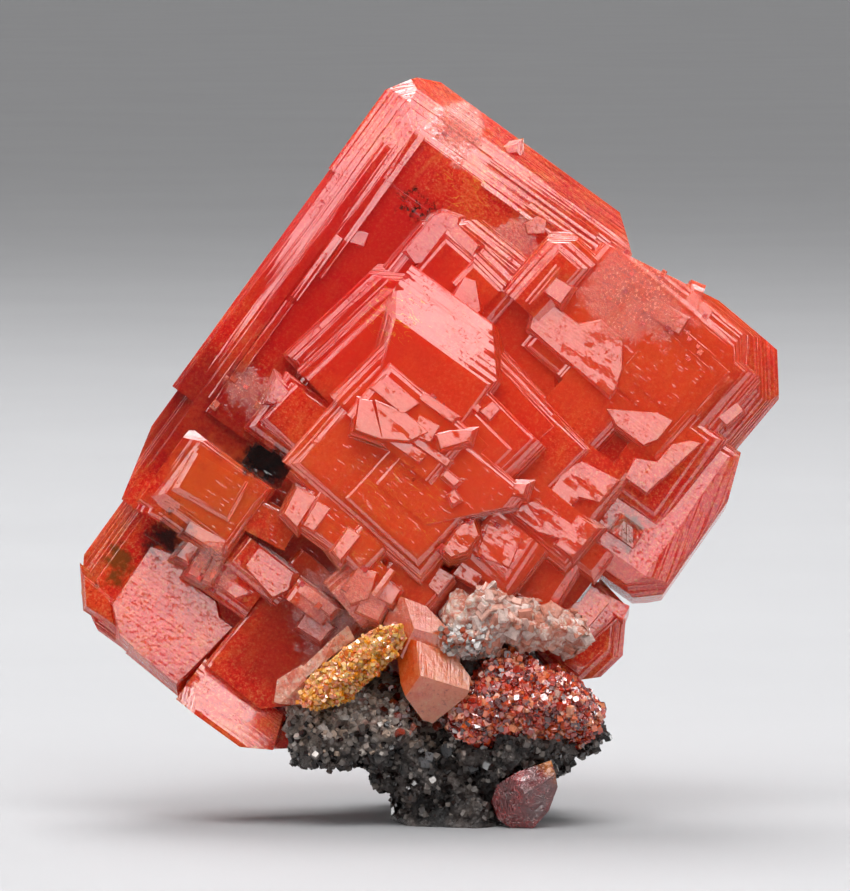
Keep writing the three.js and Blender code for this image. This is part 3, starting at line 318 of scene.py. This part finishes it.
def surface(g, place, flat, zoned, frost, crumbs):
    """The normal: striped bevels, nearly even flats, broken edges, tiny facets and granular patches."""
    facing = g.facing(W)
    slope = g.remap(facing, *BEVEL_FACE)
    tipped = g.math("SUBTRACT", g.remap(facing, *reversed(FLAT_FACE)), slope, clamp=True)
    level = g.remap(facing, *FLAT_FACE)
    front = g.remap(facing, *FRONT_FACE)
    stripes = g.math("MULTIPLY", g.noise(g.crystal((0.08, 0.08, 9)), 1, 2, 0.7), slope)
    combed = g.noise(g.crystal((0.10, 5, 0.6)), 1, 1, 0.7)
    combed = g.math("MULTIPLY", combed, g.remap(tipped, 0, 1, 0.02, 0.2))
    waves = g.math("MULTIPLY", g.noise(place, 3.0, 1, 0.65), g.remap(level, 0, 1, 0.35, 0.06))
    height = g.math("ADD", g.math("ADD", stripes, combed), waves)
    height = g.math("ADD", height, g.math("MULTIPLY", crumbs, g.math("MULTIPLY", frost, 1.8)))
    normal = g.bump(height, 0.05)
    flats = treads(g, place, flat)
    pits = g.math("MULTIPLY", g.remap(crumbs, 0.56, 0.61), g.remap(g.noise(place, 0.9, 1), 0.46, 0.58))
    pits = g.math("MULTIPLY", g.math("SUBTRACT", pits, level, clamp=True), front)
    flats = g.math("MAXIMUM", flats, pits)
    if zoned:
        cells = g.cells(g.crystal((0.55, 1.5, 0.2)), 1.7, "Color", metric="CHEBYCHEV")
        fine = g.remap(g.noise(g.crystal((1, 3, 1)), 2.6, 3, 0.7), 0.38, 0.44, 0, 0.45)
        gaps = g.math("MULTIPLY", g.remap(cells, 0.6, 0.66), fine)
        gaps = g.math("MULTIPLY", g.math("MULTIPLY", gaps, zone(g, flat, BROKEN)), tipped)
        normal = g.lean(normal, W, g.math("MAXIMUM", flats, g.math("MULTIPLY", gaps, 2.0)))
        lit = g.remap(g.noise(g.crystal((0.8, 4.5, 0.5)), 1.6, 2, 0.6), 0.645, 0.665)
        lit = g.math("MULTIPLY", lit, g.math("MULTIPLY", level, zone(g, flat, GLINTS)))
        normal = g.lean(normal, GLINT, g.math("MULTIPLY", lit, 0.8))
        return g.lean(normal, W, g.math("MULTIPLY", g.math("MULTIPLY", frost, 0.6), front))
    return g.lean(normal, W, flats)


def wulfenite(name, zoned=True, body=colour(246, 40, 30), clear=0.35):
    g = Graph(name)
    place = g.crystal()
    flat = g.ragged(g.crystal((1, 1, 0.1)), 0.7, 5.0)
    base = body_colour(g, place, body)
    frost = 0.0
    crumbs = g.noise(place, 5.5, 2, 0.8)
    if zoned:
        frost = zone(g, flat, FROST)
        base = stains(g, flat, base)
        base = g.mix(g.math("MULTIPLY", frost, 0.5), base, colour(250, 88, 40))
        # In the granular patches: painted glints, paler on the raised points of the crumbs, and painted
        # shade, darker in the hollows between them
        pale = g.math("MULTIPLY", frost, g.remap(crumbs, 0.54, 0.62, 0, 0.7))
        base = g.mix(pale, base, colour(255, 176, 130))
        dark = g.math("MULTIPLY", frost, g.remap(crumbs, 0.46, 0.38, 0, 0.7))
        base = g.mix(dark, base, colour(130, 14, 8))
    polish = g.remap(crumbs, 0.35, 0.7, 0.05, 0.14)
    rough = g.math("ADD", polish, g.math("MULTIPLY", frost, 0.2))
    g.shade(
        Base_Color=base, Roughness=rough, Normal=surface(g, place, flat, zoned, frost, crumbs),
        IOR=WULFENITE_IOR, Transmission_Weight=clear,
        Subsurface_Weight=0.6, Subsurface_Radius=(1.0, 0.2, 0.06), Subsurface_Scale=3.0 * MM,
    )
    g.absorb((1.0, 0.16, 0.04), 170)
    return g.material


def pointed():
    """The clear crystal in front: deep orange on its left, paler on its right, with fine lines."""
    g = Graph("pointed_wulfenite")
    place = g.position()
    x, _, z = g.axes(place)
    across = g.math("ADD", x, g.math("MULTIPLY", z, -0.35))
    uneven = g.remap(g.noise(place, 1.2, 4), 0.4, 0.6, -0.3, 0.3)
    side = g.math("ADD", g.remap(across, -6.6, -4.4), uneven, clamp=True)
    base = g.mix(side, colour(240, 88, 24), colour(255, 136, 84))
    flecks = g.noise(place, 4, 5, 0.75)
    base = g.mix(g.remap(flecks, 0.54, 0.66, 0, 0.5), base, colour(255, 180, 120))
    base = g.mix(g.remap(flecks, 0.44, 0.34, 0, 0.7), base, colour(130, 26, 12))
    stretched = {"Vector": place, "Rotation": (0, 0.9, 0), "Scale": (6, 1, 0.3)}
    lines = g.noise(g.node("ShaderNodeMapping", stretched).outputs[0], 1, 3)
    normal = g.bump(lines, 0.05, 0.7)
    normal = g.bump(g.noise(place, 1.4, 4, 0.6, 0.5), 0.12, 0.6, normal)
    g.shade(
        Base_Color=base, Normal=normal, Roughness=g.remap(flecks, 0.3, 0.7, 0.05, 0.2), IOR=WULFENITE_IOR,
        Transmission_Weight=0.4,
        Subsurface_Weight=0.5, Subsurface_Radius=(1.0, 0.4, 0.2), Subsurface_Scale=1.5 * MM,
    )
    g.absorb((1.0, 0.4, 0.15), 120)
    return g.material


def maroon():
    """The dark crystal at the foot, with shell-like broken faces and a rusty corner."""
    g = Graph("maroon_wulfenite")
    place = g.position()
    base = g.mix(g.remap(g.noise(place, 0.9, 4), 0.4, 0.6), colour(158, 26, 28), colour(104, 10, 16))
    base = g.mix(g.remap(g.noise(place, 3.5, 5, 0.7), 0.56, 0.68, 0, 0.7), base, colour(176, 92, 84))
    corner = g.near(place, (6.0, -4.2, 3.9), 0.7, 0.9)
    rust = g.math("MULTIPLY", corner, g.remap(g.noise(place, 2, 4), 0.35, 0.5))
    base = g.mix(rust, base, colour(226, 130, 20))
    shell = g.noise(place, 0.75, 2, 0.5, 1.8)
    ridges = g.math("PINGPONG", g.math("MULTIPLY", shell, 9.0), 0.5)
    normal = g.bump(ridges, 0.14, 0.8)
    normal = g.bump(g.noise(place, 4, 5, 0.7), 0.08, 0.7, normal)
    g.shade(
        Base_Color=base, Normal=normal, Roughness=g.remap(g.noise(place, 2.4, 3), 0.35, 0.65, 0.06, 0.3),
        IOR=WULFENITE_IOR, Transmission_Weight=0.25,
    )
    return g.material


def milky(name, tints, ior=QUARTZ_IOR, clear=0.45, scale=1.0, rough=(0.12, 0.4), depth=1.5):
    """A cloudy crystal: two or more tints mottled together."""
    g = Graph(name)
    place = g.position()
    base = tints[0]
    for i, tint in enumerate(tints[1:]):
        spots = g.noise(place, (0.9 + 0.8 * i) * scale, 4, 0.6, 0.7)
        base = g.mix(g.remap(spots, 0.46, 0.62), base, tint)
    facets = g.cells(place, 2.6 * scale, metric="CHEBYCHEV")
    waves = g.noise(place, 3.5 * scale, 5, 0.65)
    normal = g.bump(facets, 0.12, 0.6)
    normal = g.bump(waves, 0.06, 0.7, normal)
    g.shade(
        Base_Color=base, Normal=normal, IOR=ior, Transmission_Weight=clear,
        Roughness=g.remap(g.noise(place, 2 * scale, 3), 0.35, 0.65, *rough),
        Subsurface_Weight=0.4, Subsurface_Radius=(1.0, 0.6, 0.4), Subsurface_Scale=depth * MM,
    )
    return g.material


def grains(name, tints, ior, clear, rough=0.12):
    """Loose small crystals, each with a tint of its own."""
    g = Graph(name)
    ramp = g.node("ShaderNodeValToRGB")
    ramp.color_ramp.interpolation = "CONSTANT"
    while len(ramp.color_ramp.elements) < len(tints):
        ramp.color_ramp.elements.new(0.5)
    for i, (element, tint) in enumerate(zip(ramp.color_ramp.elements, tints)):
        element.position = i / len(tints)
        element.color = tint
    each = g.node("ShaderNodeNewGeometry").outputs["Random Per Island"]
    g.put(ramp.inputs[0], each)
    place = g.position()
    stain = g.mix(0.6, ramp.outputs[0], colour(60, 22, 14))
    base = g.mix(g.remap(g.noise(place, 4, 3), 0.45, 0.7, 0, 0.6), ramp.outputs[0], stain)
    g.shade(
        Base_Color=base, IOR=ior, Transmission_Weight=clear,
        Roughness=g.remap(g.noise(place, 6, 2), 0.3, 0.7, rough * 0.5, rough * 2),
        Normal=g.bump(g.noise(place, 7, 3), 0.03, 0.5),
    )
    return g.material


def rock():
    g = Graph("rock")
    place = g.position()
    x, _, z = g.axes(place)
    broad = g.noise(place, 0.5, 5, 0.65, 0.5)
    base = g.mix(g.remap(broad, 0.42, 0.62), colour(24, 20, 19), colour(92, 82, 77))
    top = g.math("MULTIPLY", g.remap(z, 4.6, 7.2), g.remap(x, 1.5, -2.5))
    pale = g.math("MULTIPLY", top, g.remap(g.noise(place, 0.9, 5, 0.65), 0.36, 0.52))
    base = g.mix(g.math("MULTIPLY", pale, 0.85), base, colour(178, 160, 146))
    speck = g.remap(g.cells(place, 4.5), 0.16, 0.05)
    chosen = g.remap(g.noise(place, 1.4, 2), 0.5, 0.6)
    base = g.mix(g.math("MULTIPLY", speck, chosen), base, colour(196, 186, 178))
    rusty = g.math("MULTIPLY", g.remap(g.noise(place, 0.8, 5, 0.7), 0.5, 0.62), g.remap(z, 5.0, 7.5))
    base = g.mix(g.math("MULTIPLY", rusty, 0.8), base, colour(128, 44, 20))
    normal = g.bump(g.cells(place, 2.4, metric="CHEBYCHEV"), 0.2, 0.8)
    normal = g.bump(g.noise(place, 5, 6, 0.7), 0.14, 0.9, normal)
    rough = g.remap(g.noise(place, 3, 4), 0.4, 0.65, 0.2, 0.7)
    g.shade(Base_Color=base, Normal=normal, Roughness=rough, IOR=1.6)
    return g.material


def floor_paper():
    g = Graph("floor_paper")
    place = g.position()
    base = g.mix(g.noise(place, 0.02, 3), colour(146, 146, 148), colour(153, 153, 155))
    g.shade(Base_Color=base, Roughness=0.75, Normal=g.bump(g.noise(place, 1.2, 2), 0.02, 0.3), IOR=1.4)
    return g.material


# Meshes

# The spacing of the rough meshes made from the solids, in millimetres
ROCK_SPACING = 0.17
DRUSE_SPACING = 0.12

# How many small crystals each piece has, and the range of their half widths in millimetres
SMALL_CRYSTALS = {
    "growth_plates": (170, (0.08, 0.3)),
    "growth_crumbs": (800, (0.05, 0.17)),
    "sugar_grains": (2400, (0.06, 0.19)),
    "dark_grains": (2400, (0.06, 0.2)),
    "red_grains": (900, (0.08, 0.24)),
    "quartz_points": (150, (0.12, 0.42)),
    "crust_grains": (3600, (0.06, 0.21)),
    "crust_lens": (26, (0.2, 0.5)),
    "ledge_plates": (150, (0.15, 0.5)),
    "ledge_druse": (320, (0.05, 0.2)),
    "blade_grains": (620, (0.05, 0.15)),
}


def add(name, mesh, material, replaced=None):
    piece = bpy.data.objects.new(name, mesh)
    bpy.context.scene.collection.objects.link(piece)
    mesh.materials.clear()
    mesh.materials.append(material)
    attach(piece, "root")
    if replaced:
        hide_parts(replaced)


def remeshed(node, voxel):
    """A dense even copy of a CAD node's mesh."""
    source = bpy.data.objects.new(node + "_source", NODES[node].data.copy())
    bpy.context.scene.collection.objects.link(source)
    modifier = source.modifiers.new("voxels", "REMESH")
    modifier.mode = "VOXEL"
    modifier.voxel_size = voxel * MM
    bpy.context.view_layer.update()
    mesh = bpy.data.meshes.new_from_object(source.evaluated_get(bpy.context.evaluated_depsgraph_get()))
    bpy.data.objects.remove(source)
    return mesh


def displaced(mesh, height, keep_foot=False):
    """Moves every vertex along its normal by height(point in millimetres)."""
    normals = [n.vector.copy() for n in mesh.vertex_normals]
    for vertex, normal in zip(mesh.vertices, normals):
        point = vertex.co / MM
        amount = height(point)
        if keep_foot:
            amount *= min(1.0, max(0.0, point.z / 0.6))
        vertex.co += normal * amount * MM
    for polygon in mesh.polygons:
        polygon.use_smooth = False
    mesh.update()
    return mesh


def crags(point):
    """Broken rock: blocky lumps with sharp edges, and finer chips on them."""
    low = noise.voronoi(point * 0.55)[0]
    mid = noise.voronoi(point * 1.5 + Vector((7, 3, 1)))[0]
    fine = noise.voronoi(point * 3.6 + Vector((2, 9, 4)))[0]
    rough = noise.fractal(point * 1.1, 0.9, 2.1, 4)
    lumps = (low[1] - low[0]) * 0.9 + (mid[1] - mid[0]) * 0.34 + (fine[1] - fine[0]) * 0.12
    return lumps - 0.47 + 0.16 * rough


def druse(point):
    """A crust: small lumps everywhere."""
    mid = noise.voronoi(point * 1.3 + Vector((3, 1, 8)))[0]
    fine = noise.voronoi(point * 2.9 + Vector((5, 2, 6)))[0]
    return (mid[1] - mid[0]) * 0.35 - 0.15 + (fine[1] - fine[0]) * 0.16


def glassy(point):
    """Melted-looking quartz with short ridges."""
    mid = noise.voronoi(point * 0.9 + Vector((1, 4, 2)))[0]
    fine = noise.voronoi(point * 2.2 + Vector((8, 2, 3)))[0]
    return (mid[1] - mid[0]) * 0.42 - 0.2 + (fine[1] - fine[0]) * 0.16


def hull(points):
    """The convex hull of a few points, as corners and faces."""
    bm = bmesh.new()
    bmesh.ops.convex_hull(bm, input=[bm.verts.new(p) for p in points])
    bmesh.ops.delete(bm, geom=[v for v in bm.verts if not v.link_faces], context="VERTS")
    bm.verts.index_update()
    shape = [v.co.copy() for v in bm.verts], [[v.index for v in f.verts] for f in bm.faces]
    bm.free()
    return shape


def blocks(rng, variants=16):
    """Blocks of half width 1, each with its corners cut off by different amounts."""
    shapes = []
    for _ in range(variants):
        points = []
        for sx in (-1, 1):
            for sy in (-1, 1):
                for sz in (-1, 1):
                    cut = 1 - rng.uniform(0.1, 0.55)
                    cuts = (sx * cut, sy, sz), (sx, sy * cut, sz), (sx, sy, sz * cut)
                    points += [Vector(p) for p in cuts]
        shapes.append(hull(points))
    return shapes


def tablets(rng, variants=16):
    """Thin square plates of half width 1 with sloping sides."""
    shapes = []
    for _ in range(variants):
        top = rng.uniform(0.55, 0.85)
        shift = Vector((rng.uniform(-0.12, 0.12), rng.uniform(-0.12, 0.12), 0))
        points = []
        for sx in (-1, 1):
            for sy in (-1, 1):
                points += [Vector((sx, sy, -1)), Vector((sx, sy, 0)), Vector((sx * top, sy * top, 1)) + shift]
        shapes.append(hull(points))
    return shapes


def pointing(along):
    """Turns crystals so that they point off the surface, each leaning its own way."""

    def turn(normal, rng):
        lean = Vector([rng.gauss(0, 1) for _ in range(3)]) * along
        upright = (normal + lean).normalized().to_track_quat("Z", "Y").to_matrix()
        return upright @ Matrix.Rotation(rng.uniform(0, math.pi), 3, "Z")

    return turn


def in_line(normal, rng):
    """Turns crystals as the large one stands, within a few degrees."""
    twist = Matrix.Rotation(rng.gauss(0, math.radians(2)), 3, "Z")
    return CRYSTAL_AXES @ twist @ Matrix.Rotation(rng.gauss(0, math.radians(3)), 3, "X")


def surface_spots(mesh, count, rng, allowed):
    """Random points on a mesh with their normals, spread by area, where allowed(point, normal)."""
    mesh.calc_loop_triangles()
    triangles = list(mesh.loop_triangles)
    weights = [t.area for t in triangles]
    spots = []
    for triangle in rng.choices(triangles, weights, k=count * 6):
        a, b, c = [mesh.vertices[i].co for i in triangle.vertices]
        r, s = math.sqrt(rng.random()), rng.random()
        point = a * (1 - r) + b * r * (1 - s) + c * r * s
        if allowed(point / MM, triangle.normal):
            spots.append((point, triangle.normal.copy()))
        if len(spots) == count:
            break
    return spots


def edge_spots(mesh, count, rng, allowed):
    """Random points on a mesh's sharp edges with the normal between the faces, where allowed."""
    bm = bmesh.new()
    bm.from_mesh(mesh)
    bmesh.ops.remove_doubles(bm, verts=bm.verts, dist=0.002 * MM)
    sharp = [e for e in bm.edges if len(e.link_faces) == 2 and e.calc_face_angle() > math.radians(12)]
    spots = []
    for edge in rng.choices(sharp, [e.calc_length() for e in sharp], k=count * 6):
        a, b = edge.verts
        point = a.co.lerp(b.co, rng.random())
        normal = (edge.link_faces[0].normal + edge.link_faces[1].normal).normalized()
        if allowed(point / MM, normal):
            spots.append((point, normal))
        if len(spots) == count:
            break
    bm.free()
    return spots


def crystals(spots, rng, size, shapes, turned=pointing(0.5), stretch=1.0, sink=0.3):
    """One mesh of small crystals on the given spots. size is the range of half widths in millimetres."""
    corners, faces = [], []
    for point, normal in spots:
        half = rng.uniform(*size) * MM
        tall = half * rng.uniform(0.7, 1.3) * stretch
        grown = turned(normal, rng) @ Matrix.Diagonal((half, half * rng.uniform(0.6, 1.2), tall))
        centre = point + normal * (tall * (1 - 2 * sink))
        shape, sides = rng.choice(shapes)
        first = len(corners)
        corners += [centre + grown @ corner for corner in shape]
        faces += [[first + i for i in side] for side in sides]
    mesh = bpy.data.meshes.new("crystals")
    mesh.from_pydata(corners, [], faces)
    return mesh


def scatter(name, mesh, rng, allowed, shapes, material, slot, **kind):
    """A piece of small crystals on a mesh. shapes is a list of them, or the function that makes one."""
    count, size = SMALL_CRYSTALS[name]
    spots = surface_spots(mesh, count, rng, allowed)
    if callable(shapes):
        shapes = shapes(rng)
    add(name, crystals(spots, rng, size, shapes, **kind), material)


# Pieces


def dress_crystals():
    tints = [colour(252, 146, 10), colour(226, 78, 14), colour(255, 196, 50)]
    yellow = milky("yellow_wulfenite", tints, WULFENITE_IOR, 0.2, 1.6, (0.2, 0.45))
    tints = [colour(236, 142, 112), colour(212, 96, 68), colour(246, 190, 168)]
    plate = milky("pale_quartz", tints, clear=0.4)
    for node, material in {
        "stepped_crystal": wulfenite("clear_wulfenite"),
        "round_crystal": wulfenite("round_wulfenite", zoned=False),
        "point_crystal": pointed(),
        "blade_crystal": yellow,
        "foot_crystal": maroon(),
        "pale_plate": plate,
    }.items():
        mesh = NODES[node].data
        mesh.materials.clear()
        mesh.materials.append(material)


def build_growth():
    """Small plates along the large crystal's steps, and crumbs of crystal in its granular patches."""
    rng = random.Random(7)
    mesh = NODES["stepped_crystal"].data

    def within(spots):
        """A test of whether a point in front lies in one of the round patches."""

        def allowed(point, normal):
            u, v, _ = TO_CRYSTAL @ (point - CENTRE / MM)
            if normal.y > -0.35:
                return False
            return any(math.hypot(u - x, v - y) < rng.uniform(0.5, 1) * r for (x, y), r in spots)

        return allowed

    tints = [colour(240, 56, 30), colour(250, 92, 46), colour(228, 34, 26), colour(246, 120, 84)]
    small = grains("growth_glints", tints, WULFENITE_IOR, 0.5, 0.08)
    count, size = SMALL_CRYSTALS["growth_plates"]
    spots = edge_spots(mesh, count, rng, within(BROKEN_EDGES))
    plates = crystals(spots, rng, size, tablets(rng), in_line, 0.35, 0.4)
    add("growth_plates", plates, small)
    tints = [
        colour(236, 54, 26),
        colour(252, 90, 40),
        colour(200, 26, 16),
        colour(255, 120, 66),
        colour(250, 70, 34),
    ]
    crumb = grains("crumb_glints", tints, WULFENITE_IOR, 0.3, 0.2)
    count, size = SMALL_CRYSTALS["growth_crumbs"]
    spots = surface_spots(mesh, count, rng, within(CRUMBS))
    crumbs = crystals(spots, rng, size, blocks(rng), in_line, 0.7, 0.35)
    add("growth_crumbs", crumbs, crumb)


def build_rock():
    rng = random.Random(3)
    shapes = blocks(rng)
    mesh = displaced(remeshed("matrix_rock", ROCK_SPACING), crags, keep_foot=True)
    add("rock", mesh, rock(), "matrix_rock")

    tints = [colour(214, 202, 192), colour(166, 150, 140), colour(194, 170, 152), colour(120, 108, 100)]
    sugar = grains("sugar_quartz", tints, QUARTZ_IOR, 0.3)

    def upper_left(p, n):
        return p.z > 4.6 and p.x < 0.5 and n.z > -0.1

    scatter("sugar_grains", mesh, rng, upper_left, shapes, sugar, "quartz")

    tints = [colour(38, 32, 30), colour(74, 66, 62), colour(22, 19, 18), colour(122, 114, 108)]
    dark = grains("dark_glints", tints, QUARTZ_IOR, 0.1)
    scatter("dark_grains", mesh, rng, lambda p, n: 0.5 < p.z < 6.5, shapes, dark, "rock")

    tints = [colour(150, 44, 20), colour(96, 26, 14), colour(206, 84, 34), colour(60, 20, 12)]
    red = grains("rock_reds", tints, WULFENITE_IOR, 0.25)

    def upper_middle(p, n):
        return -4.6 < p.x < 2.5 and 6.0 < p.z < 12 and n.y < 0.2

    scatter("red_grains", mesh, rng, upper_middle, shapes, red, "druse")

    tints = [colour(196, 196, 196), colour(150, 150, 152), colour(222, 222, 220)]
    glass = grains("glassy_quartz", tints, QUARTZ_IOR, 0.55, 0.04)

    def front_middle(p, n):
        return -2.2 < p.x < 2.0 and 3.8 < p.z < 7.0 and n.y < -0.3

    scatter("quartz_points", mesh, rng, front_middle, shapes, glass, "quartz", stretch=0.7)


def build_crust():
    rng = random.Random(4)
    tints = [colour(160, 40, 16), colour(84, 20, 12), colour(226, 92, 30)]
    base = milky("crust_base", tints, WULFENITE_IOR, 0.2)
    mesh = displaced(remeshed("red_crust", DRUSE_SPACING), druse)
    add("crust", mesh, base, "red_crust")
    tints = [
        colour(222, 58, 16),
        colour(170, 32, 12),
        colour(240, 98, 28),
        colour(104, 20, 10),
        colour(206, 46, 18),
        colour(232, 78, 22),
        colour(140, 26, 12),
        colour(248, 150, 104),
    ]
    small = grains("crust_glints", tints, WULFENITE_IOR, 0.3, 0.12)
    scatter("crust_grains", mesh, rng, lambda p, n: n.y < 0.5, blocks, small, "druse")
    lens = grains("lens_quartz", [colour(246, 206, 190), colour(232, 176, 158)], QUARTZ_IOR, 0.4, 0.05)

    def front_right(p, n):
        return 4.7 < p.x < 7.7 and 7.9 < p.z < 9.2 and n.y < -0.4

    flat = {"turned": pointing(0.12), "stretch": 0.3, "sink": 0.6}
    scatter("crust_lens", mesh, rng, front_right, tablets, lens, "quartz", **flat)


def build_ledge():
    rng = random.Random(5)
    tints = [colour(238, 158, 136), colour(216, 118, 92), colour(252, 222, 208)]
    base = milky("ledge_quartz", tints, clear=0.4, rough=(0.05, 0.2), depth=2.0)
    mesh = displaced(remeshed("quartz_ledge", DRUSE_SPACING), glassy)
    add("ledge", mesh, base, "quartz_ledge")
    shapes = tablets(rng)
    tints = [colour(248, 200, 184), colour(242, 178, 156), colour(252, 220, 208), colour(236, 152, 126)]
    clear = grains("ledge_glints", tints, QUARTZ_IOR, 0.4, 0.05)

    def right_part(p, n):
        return n.y < 0.4 and n.z > -0.6 and p.x > 1.2

    flat = {"turned": pointing(0.2), "stretch": 0.25, "sink": 0.7}
    scatter("ledge_plates", mesh, rng, right_part, shapes, clear, "quartz", **flat)
    tints = [colour(214, 204, 198), colour(150, 136, 128), colour(240, 232, 228), colour(188, 84, 54)]
    grey = grains("ledge_druse", tints, QUARTZ_IOR, 0.3, 0.05)

    def lower_left(p, n):
        return p.x < 2.4 and p.z < 12.8 and n.y < 0.3

    scatter("ledge_druse", mesh, rng, lower_left, shapes, grey, "quartz", stretch=0.8)


def build_blade_grains():
    rng = random.Random(6)
    tints = [colour(255, 150, 10), colour(244, 112, 10), colour(255, 196, 90), colour(252, 166, 24)]
    small = grains("blade_glints", tints, WULFENITE_IOR, 0.3, 0.08)
    mesh = NODES["blade_crystal"].data
    scatter("blade_grains", mesh, rng, lambda p, n: n.y < 0, blocks, small, "yellow_wulfenite")


# Floor, light and camera


def build_floor():
    bm = bmesh.new()
    bmesh.ops.create_grid(bm, x_segments=1, y_segments=1, size=12)
    mesh = bpy.data.meshes.new("floor")
    bm.to_mesh(mesh)
    bm.free()
    floor = bpy.data.objects.new("floor", mesh)
    bpy.context.scene.collection.objects.link(floor)
    mesh.materials.append(floor_paper())


# The soft lights: direction from the specimen, distance and size in metres, brightness
LIGHTS = {
    "left": ((-0.72, -0.54, 0.45), 0.6, (0.36, 0.36), 2.0),
    "upper_right": ((0.53, -0.55, 0.65), 0.6, (0.34, 0.34), 2.4),
    "front": ((0.0, -0.945, 0.325), 0.62, (0.32, 0.19), 1.6),
    "above": ((0.0, -0.42, 0.9), 0.6, (0.5, 0.3), 6.5),
    "right": ((0.63, -0.74, 0.0), 0.6, (0.2, 0.2), 1.9),
    "back_top": ((-0.1, 0.45, 0.89), 0.6, (0.36, 0.36), 9.0),
    "back_left": ((-0.8, 0.6, 0.12), 0.6, (0.3, 0.3), 5.0),
    "back_right": ((0.8, 0.6, 0.12), 0.6, (0.3, 0.3), 5.0),
}

# The even light around, by direction along an axis: axis, low, high, strength at low and at high.
# It is dark in front, where the large flat faces mirror it, and bright overhead.
SKY = ((1, -0.8, -0.2, 0.025, 0.13), (2, 0.72, 0.9, 0.0, 1.9))


def softbox(name, toward, distance, size, radiance):
    """A soft light seen from the specimen toward a direction, with its brightness as radiance."""
    toward = Vector(toward).normalized()
    light = bpy.data.lights.new(name, "AREA")
    light.shape = "RECTANGLE"
    light.size, light.size_y = size
    light.energy = radiance * math.pi * size[0] * size[1]
    box = bpy.data.objects.new(name, light)
    box.location = CENTRE + toward * distance
    box.rotation_euler = (-toward).to_track_quat("-Z", "Y").to_euler()
    box.visible_camera = False
    bpy.context.scene.collection.objects.link(box)


def build_lights():
    """Soft boxes, most of them where one set of facets mirrors one, and an even light around."""
    world = bpy.data.worlds.new("studio")
    bpy.context.scene.world = world
    world.use_nodes = True
    nodes, links = world.node_tree.nodes, world.node_tree.links
    split = nodes.new("ShaderNodeSeparateXYZ")
    links.new(nodes.new("ShaderNodeTexCoord").outputs["Generated"], split.inputs[0])
    strength = None
    for axis, low, high, start, end in SKY:
        made = nodes.new("ShaderNodeMapRange")
        made.interpolation_type = "SMOOTHSTEP"
        for key, value in (("From Min", low), ("From Max", high), ("To Min", start), ("To Max", end)):
            made.inputs[key].default_value = value
        links.new(split.outputs[axis], made.inputs["Value"])
        if strength:
            total = nodes.new("ShaderNodeMath")
            links.new(strength, total.inputs[0])
            links.new(made.outputs[0], total.inputs[1])
            strength = total.outputs[0]
        else:
            strength = made.outputs[0]
    links.new(strength, nodes["Background"].inputs["Strength"])
    nodes["Background"].inputs["Color"].default_value = (1, 1, 1, 1)
    for name, (toward, distance, size, radiance) in LIGHTS.items():
        softbox(name, toward, distance, size, radiance)


def build_camera():
    data = bpy.data.cameras.new("camera")
    data.sensor_width = SENSOR
    data.lens = SENSOR * CAMERA_DISTANCE / PHOTO_HEIGHT
    data.clip_start = 0.01
    data.clip_end = 50
    camera = bpy.data.objects.new("camera", data)
    camera.location = AIM + W * CAMERA_DISTANCE
    camera.rotation_euler = (-W).to_track_quat("-Z", "Y").to_euler()
    bpy.context.scene.collection.objects.link(camera)
    bpy.context.scene.camera = camera


def set_quality():
    scene = bpy.context.scene
    scene.view_settings.view_transform = "Standard"
    scene.cycles.use_denoising = True
    scene.cycles.max_bounces = 5
    scene.cycles.transmission_bounces = 5
    scene.cycles.glossy_bounces = 2
    scene.cycles.diffuse_bounces = 2
    scene.cycles.caustics_reflective = False
    scene.cycles.caustics_refractive = False
    scene.cycles.sample_clamp_indirect = 6
    scene.cycles.adaptive_threshold = 0.25


dress_crystals()
build_growth()
build_rock()
build_crust()
build_ledge()
build_blade_grains()
build_floor()
build_lights()
build_camera()
set_quality()
